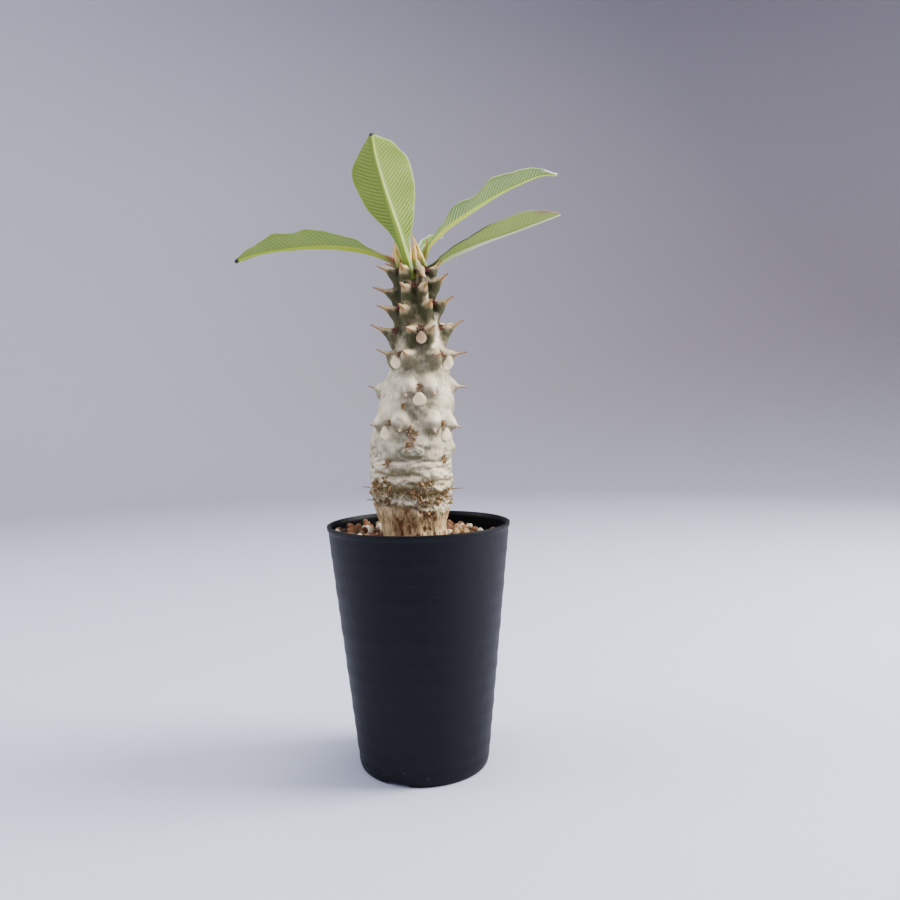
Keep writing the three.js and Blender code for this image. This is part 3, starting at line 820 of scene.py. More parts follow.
class Horn:
    """One spine: a cone of flesh that tapers into a woody tip along a bent centre line."""

    def __init__(self, turn, height, side, lift, length, young):
        radius = stem_at(height)[0]
        spread = math.degrees(mix(*SPINE_HALF_SPREAD, young) / radius)
        self.turn = turn + side * spread
        self.foot = on_stem(self.turn, height)
        self.direction = outward(turn + side * (spread + mix(*SPINE_SPLAY, young)), lift)
        self.length = length
        self.root = mix(*SPINE_ROOT, young)
        self.thorn = mix(*SPINE_THORN, young)
        self.drop = np.array([0, 0, mix(*SPINE_DROP, young)])
        self.bend = np.array([0, 0, mix(*SPINE_BEND, young)])
        self.wood_start = mix(*WOOD_START, young)
        self.wood_end = self.wood_start + WOOD_OVERLAP
        self.young = young

    def centre(self, share):
        """Point of the centre line, which starts lower than the tip where the spine is young."""
        share = np.asarray(share, float)[..., None]
        sag = self.drop * (1 - share) ** 2
        return self.foot + self.direction * self.length * share - sag + self.bend * (share**2 - share)

    def radius(self, share):
        share = np.clip(share, -0.15, 1)
        flesh = (self.root - self.thorn) * (1 - smooth(-0.1, 0.6, share))
        return SPINE_TIP + (self.thorn - SPINE_TIP) * (1 - share) ** 0.9 + flesh

    def distance(self, points):
        """Distance to the fleshy part, whose root is taller than it is wide."""
        share = np.clip((points - self.foot) @ self.direction / self.length, -0.3, self.wood_end)
        away = points - self.centre(share)
        tall = mix(0.8, 1.0, smooth(0, 0.55, share))
        far = np.sqrt(np.sum(away[..., :2] ** 2, axis=-1) + (away[..., 2] * tall) ** 2)
        under_wood = 0.3 * smooth(self.wood_start, self.wood_start + 0.14, share)
        return (far - self.radius(share) + under_wood) * 0.85


def all_horns():
    horns = []
    for turn, height, left_lift, right_lift, length in all_shoulders():
        for side, lift in ((-1, left_lift), (1, right_lift)):
            if lift is not None:
                horns.append(Horn(turn, height, side, lift, length, youth(height)))
    return horns


HORNS = all_horns()


def knuckle(horn):
    """The swelling under an old spine, or the low rib that runs down from a young one."""
    out = outward(horn.turn, 0)
    side = np.cross((0, 0, 1), out)
    up = unit(np.array([0, 0, 1]) + 0.1 * out)
    plump = bell(horn.young - PLUMP_YOUTH, PLUMP_SPAN)
    depth = mix(*KNUCKLE_DEPTH, horn.young) + PLUMP_DEPTH * plump
    rise = mix(*KNUCKLE_RISE, horn.young) + PLUMP_RISE * plump
    radii = [mix(*radius, horn.young) + more * plump for radius, more in zip(KNUCKLE_RADII, PLUMP_RADII)]
    centre = horn.foot - out * depth + np.array([0, 0, rise])
    return centre, ellipsoid(centre, (out, side, up), radii)


def all_scars():
    """Places where a leaf has dropped: centre, the pad's frame, half width and half height."""
    rows = [(turn, height, turn * SCAR_FACING, *half_sizes) for turn, height, *half_sizes in FRONT_SCARS]
    for turn, height, *_ in all_shoulders():
        if height < SCAR_HIGHEST and abs(turn_gap(turn, 0)) > BACK_TURN_LIMIT:
            rows.append((turn, height - mix(*SCAR_DROP, youth(height)), turn, *BACK_SCAR))
    scars = []
    for turn, height, facing, width, tall in rows:
        out = outward(facing, SCAR_LIFT)
        side = unit(np.cross((0, 0, 1), out))
        scars.append((on_stem(turn, height, 0.35), out, side, np.cross(out, side), width, tall))
    return scars


def scar_far(points, scar):
    """How far out on the pad's face a point lies, 1 at its edge, and its height over the pad's middle."""
    centre, out, side, up, width, tall = scar
    away = points - centre
    across, rise = away @ side / width, away @ up / tall
    peak = 0.45 * np.maximum(np.sin(np.arctan2(rise, across)), 0) ** 8
    return np.hypot(across, rise) / (1 + peak), away @ out


def scar_pad(scar):
    """A pad like a drop with its point up and a rounded edge."""
    smaller = min(scar[4], scar[5])

    def distance(points):
        face, proud = scar_far(points, scar)
        far = (face - 1) * smaller + SCAR_EDGE_ROUND
        thin = SCAR_HALF_THICKNESS - SCAR_EDGE_ROUND - 0.35 * np.clip(face, 0, 1) ** 2
        thick = np.abs(proud) - thin
        outside = np.hypot(np.maximum(far, 0), np.maximum(thick, 0))
        return outside + np.minimum(np.maximum(far, thick), 0) - SCAR_EDGE_ROUND
    return scar[0], distance


def stem_field():
    """The stem's body with its relief, then knuckles, spines, unevenness and the pads of the scars."""
    low, high = (-SKIN_REACH, -SKIN_REACH, SKIN_LOW), (SKIN_REACH, SKIN_REACH, SKIN_HIGH)
    field = Field(low, high, STEM_STEP)
    whole, points = field.window((0, 0, SKIN_LOW), SKIN_HIGH)
    height = points[..., 2]
    radius, middle = stem_at(height)
    distance = np.hypot(points[..., 0] - middle, points[..., 1]) - radius
    near = np.abs(distance) < RELIEF_REACH
    turn = np.degrees(np.arctan2(points[near][:, 0] - middle[near], -points[near][:, 1]))
    distance[near] -= stem_relief(turn, height[near], points[near])
    distance = np.maximum(distance, (height - CROWN_HEIGHT) * 0.9)
    field.value[whole] = np.maximum(distance, STEM_OUTLINE[0, 0] - height)
    dome = ellipsoid(CROWN_DOME, np.eye(3), CROWN_DOME_RADII)
    field.join(CROWN_DOME, KNUCKLE_REACH, CROWN_BLEND, dome)
    for horn in HORNS:
        centre, distance = knuckle(horn)
        field.join(centre, KNUCKLE_REACH, mix(*KNUCKLE_BLEND, horn.young), distance)
    for horn in HORNS:
        blend = mix(*SPINE_BLEND, horn.young)
        field.join(horn.foot + horn.direction * 3, SPINE_REACH, blend, horn.distance)
    value = field.value[whole]
    near = np.abs(value) < UNEVEN_REACH
    coarse, fine = noise(points[near], 3.1, 11) - 0.5, noise(points[near], 1.3, 12) - 0.5
    value[near] += 0.55 * coarse + 0.25 * fine
    for scar in all_scars():
        centre, distance = scar_pad(scar)
        field.join(centre, SCAR_REACH, SCAR_BLEND, distance)
    return field


def horn_masks(vertices):
    """How far out on a spine each point lies, and how much it is a shaded flank or a lit face."""
    on_horn, under, face = np.zeros((3, len(vertices)))
    for horn in HORNS:
        out = outward(horn.turn, 0)
        away = vertices - horn.foot
        beside = np.abs(away @ np.cross((0, 0, 1), out))
        near_side = away @ out > -6
        down = (horn.foot + horn.direction * 2)[2] - vertices[:, 2]
        front = smooth(50, 38, abs(turn_gap(horn.turn, 0)))
        flank = np.maximum(np.maximum(smooth(0.9, 3.0, beside), smooth(3.5, 6.5, down)), 1 - front)
        lowest = mix(7, 12, horn.young)
        shaded = flank * smooth(6.2, 4.0, beside) * smooth(-0.5, 1.5, down) * smooth(lowest, 4.5, down)
        under = np.maximum(under, shaded * near_side)
        lit = front * smooth(3.2, 1.5, beside) * smooth(5.2, 2.4, down) * smooth(-3.5, -1.5, down)
        face = np.maximum(face, lit * near_side)
        share = away @ horn.direction / horn.length
        out_share = np.clip(share, 0, 1)
        gap = np.linalg.norm(vertices - horn.centre(out_share), axis=1) - horn.radius(share)
        close = np.linalg.norm(away, axis=1) < horn.length + 3
        on_horn = np.maximum(on_horn, close * out_share * smooth(1.1, 0.5, gap))
    return {"horn": on_horn, "under": under, "face": face}


def openness(field, vertices, normal):
    """How open the surroundings of each point are: near, further out and above."""
    above = normal + (0, 0, 1)
    above = above / np.linalg.norm(above + 1e-6, axis=1, keepdims=True)
    open_near = field.sample(vertices + normal * 1.6) / 1.6
    open_far = field.sample(vertices + normal * 3.6) / 3.6
    open_above = field.sample(vertices + above * 4.0) / 4.0
    return 0.35 * open_near, 0.35 * open_far, 0.3 * open_above


def stem_masks(field, vertices):
    """What the skin is at each point, from 0 to 1: bark, deep, spine, scar, crusted and so on."""
    height = vertices[:, 2]
    radius, middle = stem_at(height)
    turn = np.degrees(np.arctan2(vertices[:, 0] - middle, -vertices[:, 1]))
    gradient, size = field.slope(vertices)
    normal = gradient / size
    near, far, above = openness(field, vertices, normal)
    line = bark_line(turn) + 2.4 * (noise(vertices, 2.6, 21) - 0.5)
    masks = {
        # deep, how enclosed a point is, is where the material paints shade in creases and gaps
        "deep": np.clip(1 - near - far - above, 0, 1),
        "bark": smooth(line + 1.0, line - 1.0, height),
        "young": smooth(GREEN_FROM, GREEN_BY, height + 6 * (noise(vertices, 6, 22) - 0.5)),
        # facing_up, how far a point faces up, lets the material paint tops lighter and undersides darker as
        # light and shade
        "facing_up": normal[:, 2] * 0.5 + 0.5,
        "folded": smooth(182, 160, height),
        "pit": bark_pits(turn, height),
        **horn_masks(vertices),
        **{name: np.zeros(len(vertices)) for name in ("scar", "bud", "stain", "pale", "ring")},
    }

    def add(name, values):
        masks[name] = np.maximum(masks[name], values)

    for scar in all_scars():
        face, proud = scar_far(vertices, scar)
        add("scar", smooth(1.02, 0.90, face) * smooth(0.3, 0.8, proud) * (proud < 4))
    for shoulder_turn, shoulder_height, *_ in all_shoulders():
        bud = on_stem(shoulder_turn, shoulder_height, 0.5)
        add("bud", smooth(3.6, 1.8, np.linalg.norm(vertices - bud, axis=1)))
    ragged = 0.9 * (noise(vertices, 2.6, 24) - 0.5) + 0.5 * (noise(vertices, 1.0, 25) - 0.5)
    for name, spots in (("stain", STAINS_AND_SHADE), ("pale", PALE_AND_LIT_SPOTS)):
        for *spot, strength in spots:
            far = np.hypot(*in_spot(turn, height, radius, *spot)) + ragged
            add(name, strength * smooth(1.5, 0.2, far))
    for middle_turn, at, width, tall in OLD_SCARS:
        far = np.hypot(*in_spot(turn, height, radius, middle_turn, at, width / 2, tall / 2))
        add("ring", smooth(1.25, 1.1, far) * (0.5 - 0.5 * np.cos(far * OLD_SCAR_RINGS)))
    return masks


# Colours of the wood on old spines and on young ones, lighter on faces turned up and darker on faces turned
# down: painted light and shade
TOP_LIT_WOOD = ((0.66, 0.50, 0.34), (0.72, 0.52, 0.24))
UNDER_SHADED_WOOD = ((0.36, 0.22, 0.12), (0.29, 0.150, 0.036))


def stem_material():
    shader = Shader("stem skin")
    deep, bark, young, up = map(shader.mask, ("deep", "bark", "young", "facing_up"))
    folded, pale, stain, horn = map(shader.mask, ("folded", "pale", "stain", "horn"))
    # Silvery waxy skin over olive grey, in fine drawn-out threads and soft patches. It is lighter on faces
    # turned up, a painted top light, lighter on the pale spots and darker on the stains
    streaks = shader.cloud(0.9, 4, (1, 1, 0.22), 0.65)
    wax_and_top_light = (streaks * 0.5 + shader.cloud(5.5, 4) * 0.5).step(0.28, 0.72, 0.12, 0.68)
    wax_and_top_light = wax_and_top_light + up.step(0.22, 0.80, -0.26, 0.26) + pale * 0.42 - stain * 0.30
    skin = wax_and_top_light.step(-0.25, 1.15).between((0.120, 0.102, 0.045), (0.88, 0.755, 0.53))
    # Younger skin is greener, more so on faces turned down, and faces turned down are painted dark olive:
    # the green is partly the young skin's own colour and partly painted shade, the olive is painted shade
    green = shader.cloud(2.5).between((0.105, 0.092, 0.024), (0.27, 0.215, 0.090))
    waxless = pale.step(0.2, 0.9, 1.0, 0.0)
    skin = skin.painted(young * waxless * up.step(0.80, 0.50, 0.35, 0.80), green)
    olive = young.between((0.165, 0.130, 0.066), (0.055, 0.050, 0.010))
    below = (young * -0.14 + up).step(0.46, 0.20) * waxless
    skin = skin.painted(below * young.step(0, 1, 0.55, 0.92), olive)
    # Shaded flanks of the shoulders, and the lit faces below the young spines
    shaded = shader.mask("under") * waxless * up.step(0.82, 0.60)
    shaded = shaded * shader.cloud(2.2).step(0.30, 0.62, 0.55, 1.0) * young.step(0.0, 0.4, 0.62, 0.92)
    flank = young.step(0.0, 0.4).between((0.135, 0.112, 0.050), (0.043, 0.045, 0.008))
    skin = skin.painted(shaded, flank)
    skin = skin.painted(shader.mask("face") * young.step(0.1, 0.5) * 0.8, (0.60, 0.44, 0.22))
    # Stains, partly painted shade: strongest on faces turned down, near black on young skin
    stain_and_shade = stain * up.step(0.80, 0.55, 0.4, 1.0) * young.step(0.1, 0.4, 0.55, 0.92)
    stain_and_shade_colour = folded.between((0.125, 0.112, 0.052), (0.088, 0.078, 0.028))
    stain_and_shade_colour = stain_and_shade_colour.painted(young.step(0.1, 0.4), (0.040, 0.036, 0.006))
    skin = skin.painted(stain_and_shade, stain_and_shade_colour)
    # Crusty growth in the folds
    crumbs = shader.cloud(0.8, 4).step(0.46, 0.54)
    sheltered = up.step(0.66, 0.44).math("MAXIMUM", stain)
    growth = shader.cloud(0.7).step(0.40, 0.62).between((0.070, 0.058, 0.014), (0.46, 0.31, 0.135))
    skin = skin.painted(folded * crumbs * sheltered * 0.85, growth)
    # Bark of the foot: tan with paler ridges and rust-brown pits
    strips = shader.cloud(1.9, 4, (1, 1, 0.24), 0.6)
    tan = strips.step(0.30, 0.66).between((0.27, 0.165, 0.062), (0.60, 0.44, 0.23))
    pale_ridges = shader.cloud(1.1, 3, (1, 1, 0.22)).step(0.56, 0.68)
    tan = tan.painted(pale_ridges * 0.5, (0.76, 0.62, 0.40))
    rust = shader.cloud(1.3, 3, (1, 1, 0.4)).step(0.60, 0.66).math("MAXIMUM", shader.mask("pit"))
    skin = skin.painted(bark, tan.painted(rust * 0.85, (0.21, 0.070, 0.026)))
    # Painted shade in the creases and in the gaps between the shoulders, darkest where a point is most
    # enclosed and near black between the young shoulders; then the rings of the worn scars
    crease_shade = bark.between((0.105, 0.095, 0.046), (0.100, 0.044, 0.016))
    skin = skin.painted(deep.step(0.42, 0.90, 0.0, 0.65), crease_shade)
    skin = skin.painted(deep.step(0.30, 0.66, 0.0, 0.95) * young * waxless, (0.022, 0.022, 0.003))
    skin = skin.painted(shader.mask("ring") * 0.6, (0.130, 0.125, 0.070))
    # Spine roots: cream on faces turned up as painted top light, then the colour of the wood towards the
    # tip, lighter above and darker below as painted light and shade
    cream = horn.step(0.0, 0.10) * up.step(0.52, 0.80) * stain.step(0.2, 1.0, 0.9, 0.25)
    skin = skin.painted(cream, young.between((0.86, 0.66, 0.39), (0.66, 0.49, 0.25)))
    wood = up.step(0.36, 0.62).between(young.between(*UNDER_SHADED_WOOD), young.between(*TOP_LIT_WOOD))
    skin = skin.painted(horn.step(0.24, 0.52), wood)
    # Leaf scars and the stain round the buds
    scar = shader.cloud(1.8).between((1.0, 0.77, 0.42), (1.0, 0.86, 0.53))
    skin = skin.painted(shader.mask("scar"), scar.painted(young.step(0.30, 0.60), (0.58, 0.35, 0.19)))
    crust = shader.mask("bud") * shader.cloud(1.1, 4).step(0.42, 0.58)
    skin = skin.painted(crust * 0.8, (0.14, 0.050, 0.022))
    shader.set(Base_Color=skin, Roughness=wax_and_top_light.step(0, 1, 0.62, 0.5), Specular_IOR_Level=0.3)
    shader.set(Normal=shader.bump(shader.cloud(0.35), 0.08, before=shader.bump(streaks, 0.3)))
    return shader.material


def woody_material():
    """Wood of the spines: lighter on faces turned up and darker below as painted light and shade, red-brown
    towards the tip.
    """
    shader = Shader("spine wood")
    share, young = shader.mask("share"), shader.mask("young")
    up = shader.axis("Z", shader.value("ShaderNodeNewGeometry", output="Normal"))
    grain = shader.cloud(0.5, 3, (1, 1, 0.6))
    # Painted light and shade: lighter wood on faces turned up, darker on faces turned down
    colour = up.step(-0.28, 0.24).between(young.between(*UNDER_SHADED_WOOD), young.between(*TOP_LIT_WOOD))
    red = young.between((0.38, 0.18, 0.11), (0.32, 0.120, 0.035))
    colour = colour.painted(share.step(0.35, 0.95, 0.0, 0.85), red)
    colour = colour.painted(share.step(0.80, 1.0), (0.12, 0.040, 0.022))
    colour = colour.painted(grain.step(0.5, 0.7) * 0.25, (0.70, 0.50, 0.26))
    shader.set(Base_Color=colour, Roughness=0.42, Normal=shader.bump(grain, 0.05))
    return shader.material


def young_spine_material():
    """The soft young spines of the crown: cream edges with olive and orange-brown stripes."""
    shader = Shader("young spine")
    share = shader.mask("share")
    stripes = shader.cloud(0.7, 2, (1, 1, 0.12))
    colour = stripes.step(0.38, 0.62).between((0.36, 0.205, 0.020), (0.80, 0.62, 0.17))
    colour = colour.painted(share.step(0.36, 0.10), (0.17, 0.20, 0.014))
    colour = colour.painted(share.step(0.70, 1.0), (0.48, 0.24, 0.08))
    shader.set(Base_Color=colour, Roughness=0.45, Normal=shader.bump(stripes, 0.1))
    return shader.material


SPINE_SIDES = 12
WOOD_RINGS, THORN_RINGS, CROWN_RINGS = 15, 9, 17
WOOD_TIP = 0.14
CROWN_BOW = np.array([0, 0, 1.6])


def spine_rings(centres, radii):
    """Rings of points round a centre line."""
    rings = []
    tangents = np.gradient(centres, axis=0)
    side = unit(np.cross(tangents[0], (0.31, 0.17, 0.93)))
    angles = np.arange(SPINE_SIDES) * 2 * math.pi / SPINE_SIDES
    for centre, tangent, radius in zip(centres, tangents, radii):
        forward = unit(tangent)
        side = unit(side - forward * (side @ forward))
        other = np.cross(forward, side)
        circle = np.cos(angles)[:, None] * side + np.sin(angles)[:, None] * other
        rings.append(centre + radius * circle)
    return rings


class Spines:
    """Closed tapering spines gathered into one piece."""

    def __init__(self):
        self.vertices, self.faces, self.shares, self.young = [], [], [], []

    def add(self, centres, radii, shares, young=1.0):
        first = sum(len(block) for block in self.vertices)
        rings = spine_rings(centres, radii)
        self.vertices.append(np.concatenate([*rings, [centres[0], centres[-1]]]))
        self.faces.extend(closed_faces(len(rings), SPINE_SIDES, first))
        self.shares.append(np.concatenate([np.repeat(shares, SPINE_SIDES), [shares[0], shares[-1]]]))
        self.young.append(np.full(len(self.vertices[-1]), young))

    def make(self, name, material):
        masks = {"share": np.concatenate(self.shares), "young": np.concatenate(self.young)}
        piece(name, np.concatenate(self.vertices), self.faces, material, masks=masks)


# Young upright spines of the crown: foot, tip and the radius of the foot
CROWN_SPINES = [
    [(-6.3, -5, 284), (-9.2, -5, 299.6), 2.3], [(-1.8, -8, 284), (-0.7, -7, 298.5), 1.5],
    [(1.9, -6.5, 284), (1.2, -5, 301.1), 1.7], [(7.4, -3.5, 284), (0.1, -2, 304), 2.0],
    [(4.6, 3, 284), (9.6, 5, 302.8), 1.5], [(-7.5, 2, 283), (-10.5, 4, 298), 2.0],
    [(-3.5, 7, 283), (-5.5, 10, 299), 2.0], [(3.2, 8, 283), (3.6, 11, 299), 2.0],
]
# Dry thorns low on the stem: turn, height, lift, length
DRY_THORNS = [[-88, 160.5, 8, 6], [-86, 153.5, 2, 5.5], [84, 159.0, 0, 7], [86, 182.6, 5, 3.4]]


def make_spines():
    spines = Spines()
    for horn in HORNS:
        shares = np.linspace(0, 1, WOOD_RINGS)
        along = mix(horn.wood_start, 1, shares)
        radii = horn.radius(along) - 0.25 + 0.33 * smooth(0, 0.2, shares)
        radii[-1] = WOOD_TIP
        spines.add(horn.centre(along), radii, shares, horn.young)
    for turn, height, lift, length in DRY_THORNS:
        shares = np.linspace(0, 1, THORN_RINGS)
        centres = on_stem(turn, height, -0.8) + outward(turn, lift) * length * shares[:, None]
        spines.add(centres, 0.12 + 0.5 * (1 - shares) ** 1.4, mix(0.5, 1.2, shares), 0.0)
    spines.make("stem_spines", woody_material())
    crown = Spines()
    for foot, tip, radius in CROWN_SPINES:
        shares = np.linspace(0, 1, CROWN_RINGS)
        along = shares[:, None]
        centres = mix(np.array(foot), np.array(tip), along) - CROWN_BOW * (along - along**2)
        radii = 0.12 + radius * (1 - shares**2.2) * (0.9 + 0.1 * shares)
        crown.add(centres, radii, shares)
    crown.make("stem_crown_spines", young_spine_material())


def make_stem():
    field = stem_field()
    vertices, quads = field.skin()
    vertices = field.settle(vertices)
    piece("stem_skin", vertices, quads, stem_material(), "stem", stem_masks(field, vertices))


make_stem()
make_spines()


# Bud scales on the shoulders and crusts in the folds

BUD_SCALES = 9
# Radians between one scale of a bud and the next
SPIRAL_ANGLE = 2.4
SCALE_SHARP_ANGLE = 50


def bud_material():
    shader = Shader("bud scales")
    dry = shader.cloud(1.0)
    colour = dry.step(0.35, 0.62).between((0.12, 0.054, 0.018), (0.44, 0.28, 0.115))
    colour = colour.painted(shader.mask("young"), (0.13, 0.025, 0.016))
    shader.set(Base_Color=colour, Roughness=0.7, Normal=shader.bump(dry, 0.1))
    return shader.material


# Loose crusts in the folded part: turn, height, half width, half height
CRUSTS = [
    [2.3, 190.2, 2.6, 2.4], [-4.8, 194.1, 2.2, 1.8], [-1.6, 185.4, 2.4, 2.0], [-35.2, 175.1, 1.8, 2.0],
    [52.3, 176.7, 1.4, 2.2], [-37.5, 166.2, 2.2, 1.6], [-31.6, 160.2, 1.6, 4.0],
    [-43.2, 154.3, 3.4, 2.6], [-2.8, 159.1, 3.6, 1.6], [8.2, 157.3, 3.0, 1.6], [17.4, 154.2, 3.4, 2.0],
    [12.1, 163.3, 3.0, 1.4], [24.9, 163.0, 2.4, 1.2], [41.6, 153.5, 1.2, 3.0], [55.5, 158.0, 2.6, 2.4],
    [29.7, 147.1, 2.0, 2.0], [-57, 162.0, 4.5, 3.6], [-20, 207.0, 0.7, 1.8], [120, 160, 5, 2],
    [165, 156, 5, 2], [-150, 163, 4, 2], [-110, 157, 5, 2], [85, 152, 3, 2],
]


class Scales:
    """Small dry scales, each a bent four-sided flake that points out, gathered into one piece."""

    def __init__(self, random):
        self.random = random
        self.vertices, self.faces, self.ages = [], [], []

    def add(self, root, out, spread, size, age=0.0):
        side = unit(np.cross(out, self.random.normal(size=3)))
        other = np.cross(out, side)
        tip = root + out * size * 1.5 + spread
        half_side, half_other = side * size * 0.62, other * size * 0.42
        flake = [root + half_side, root + half_other, root - half_side, root - half_other]
        middle = [point * 0.45 + tip * 0.55 + (point - root) * 0.35 for point in flake]
        first = len(self.vertices)
        self.vertices.extend([*flake, *middle, tip])
        self.ages.extend([age] * 9)
        for k in range(4):
            low, after = first + k, first + (k + 1) % 4
            self.faces.append((low, after, after + 4, low + 4))
            self.faces.append((low + 4, after + 4, first + 8))
        self.faces.append((first + 3, first + 2, first + 1, first))


def add_bud(scales, turn, height):
    """Scales in a spiral round the middle of a shoulder."""
    young = youth(height)
    out = outward(turn, 15)
    side = unit(np.cross((0, 0, 1), out))
    up = np.cross(out, side)
    centre = on_stem(turn, height, mix(0.9, -0.9, young))
    for k in range(BUD_SCALES):
        angle = k * SPIRAL_ANGLE
        reach = 0.25 + 0.55 * math.sqrt(k)
        away = side * math.cos(angle) * reach + up * math.sin(angle) * reach * 0.8
        size = 0.75 + 0.5 * scales.random.random()
        scales.add(centre + away - out * 0.6, unit(out + away * 0.25), away * 0.2, size, young)


def add_crust(scales, turn, height, half_width, half_height):
    """Scattered scales that stand on the relief of the skin."""
    random = scales.random
    radius = stem_at(height)[0]
    for _ in range(int(6 + half_width * half_height * 2.4)):
        across, rise = random.uniform(-1, 1, 2)
        if across**2 + rise**2 > 1.1:
            continue
        at_turn = turn + math.degrees(across * half_width / radius)
        at_height = height + rise * half_height
        place = on_stem(at_turn, at_height)[None]
        relief = float(stem_relief(np.array([at_turn]), np.array([at_height]), place)[0])
        root = on_stem(at_turn, at_height, relief - 0.35)
        tilt = unit(outward(at_turn, 0) + random.normal(size=3) * 0.35)
        scales.add(root, tilt, random.normal(size=3) * 0.2, 0.95 + 0.7 * random.random())


def make_buds():
    scales = Scales(np.random.default_rng(31))
    for turn, height, *_ in all_shoulders():
        add_bud(scales, turn, height)
    for crust in CRUSTS:
        add_crust(scales, *crust)
    piece("stem_buds", scales.vertices, scales.faces, bud_material(),
          masks={"young": scales.ages}, sharp_angle=SCALE_SHARP_ANGLE)


make_buds()


# Leaves: points of the midrib, the way the upper face looks, roll and fold in degrees, half width,
# where the blade is widest as a share of its length, its wave, spacing and lean of the side veins,
# and the margins that the photograph shows: share of the length and half width

LEAVES = {
    "leaf_front": dict(
        midrib=[[0.2, -8.0, 277], [-1.3, -8.0, 282], [-2.8, -8.6, 288], [-6.7, -10.8, 302],
                [-11.3, -14.5, 316], [-15.4, -19.3, 329.3], [-18.5, -25.1, 342], [-19.4, -29.7, 350.4]],
        facing=(-0.35, 1, 0.3), roll=0, fold=14, half_width=17.2, widest=0.68, ripple=0.5,
        veins=(2.05, 0.42),
        right=[(0, 2.2), (0.06, 3.0), (0.119, 2.8), (0.176, 3.0), (0.233, 4.6), (0.305, 7.6),
               (0.399, 12.8), (0.518, 17.7), (0.611, 19.7), (0.724, 20.8), (0.798, 19.3),
               (0.839, 16.2), (0.924, 12.3), (0.972, 3.9), (1, 0.4)],
        left=[(0, 2.2), (0.06, 3.0), (0.119, 2.8), (0.176, 2.5), (0.233, 2.7), (0.286, 3.3),
              (0.363, 5.2), (0.451, 9.1), (0.532, 12.0), (0.603, 13.3), (0.672, 14.3), (0.739, 15.2),
              (0.798, 14.0), (0.825, 12.6), (0.898, 7.2), (0.953, 3.8), (1, 0.4)]),
    "leaf_left": dict(
        midrib=[[-5.5, 0.2, 284.2], [-10, 0.3, 288.4], [-18.4, 0.8, 292.2], [-33, 1.7, 296.2],
                [-48.9, 2.6, 298], [-64.5, 3.6, 297.9], [-80.2, 4.5, 296.4], [-93, 5.3, 293.6],
                [-100.3, 5.7, 290.7]],
        facing=(0, 0, 1), roll=8, fold=17, half_width=16.5, widest=0.58, ripple=0.6, veins=(2.6, 0.42),
        right=[(0.09, 2.0), (0.15, 3.3), (0.236, 5.6), (0.306, 11.4), (0.398, 12.9), (0.476, 13.8),
               (0.549, 16.8), (0.58, 16.5), (0.622, 14.2), (0.649, 13.4), (0.734, 14.2),
               (0.799, 11.0), (0.85, 9.0), (0.90, 6.4), (0.96, 2.6), (1, 0.4)]),
    "leaf_right_upper": dict(
        midrib=[[4.8, 1.8, 284.6], [7, 2.6, 291], [9.8, 3.6, 297.6], [14.1, 5.2, 302.2],
                [22.1, 8.1, 309.5], [33.5, 12.2, 318], [53.2, 19.3, 331], [66.4, 24, 338],
                [79.9, 28.9, 343.7], [89.2, 32.3, 344.6]],
        facing=(-0.3, 0, 1), roll=-8, fold=17, half_width=17, widest=0.58, ripple=0.6, veins=(2.6, 0.15),
        left=[(0.09, 1.8), (0.13, 3.5), (0.2, 8.6), (0.263, 9.8), (0.29, 13.4), (0.32, 15.6), (0.358, 15.0),
              (0.414, 13.4), (0.481, 14.0), (0.511, 16.8), (0.541, 18.2), (0.609, 16.4), (0.672, 15.0),
              (0.737, 12.9), (0.83, 8.6), (0.912, 4.9), (0.96, 2.6), (1, 0.9)]),
    "leaf_right_lower": dict(
        midrib=[[5.5, 3.2, 281.4], [11.9, 1.8, 285.5], [19.8, -2.5, 289.2], [31.4, -8.7, 293.5],
                [42.9, -14.5, 297], [54.1, -18.2, 300], [65.2, -21.9, 303.2], [80.3, -26.8, 307.6]],
        facing=(0, 0, 1), roll=-4, fold=15, half_width=15.5, widest=0.62, ripple=0.35, veins=(2.4, 0.42),
        left=[(0.09, 1.8), (0.13, 2.6), (0.19, 5.0), (0.273, 6.2), (0.361, 8.1), (0.444, 9.7), (0.514, 11.2),
              (0.576, 12.9), (0.644, 14.3), (0.717, 14.6), (0.779, 13.9), (0.84, 12.4), (0.925, 8.7),
              (0.97, 4.6), (1, 0.4)]),
    "leaf_back": dict(
        midrib=[[1.5, 5.2, 284], [4.2, 9.5, 293], [7.1, 15, 299.4], [11.8, 24, 305], [16.6, 34, 309],
                [19.6, 42, 310.6]],
        facing=(0, -0.3, 1), roll=0, fold=30, half_width=3.6, widest=0.5, ripple=0.3, veins=(2.0, 0.42)),
}
LEAF_ROWS = 190
LEAF_COLUMNS = 72
RIPPLES = 4
STALK_SHARE = 0.09
STALK_HALF_WIDTH = 1.7
BLADE_THICKNESS = 0.5
VEIN_CURVE = 0.012
PLEAT_DEPTH = 0.16
VEIN_HEIGHT = 0.14


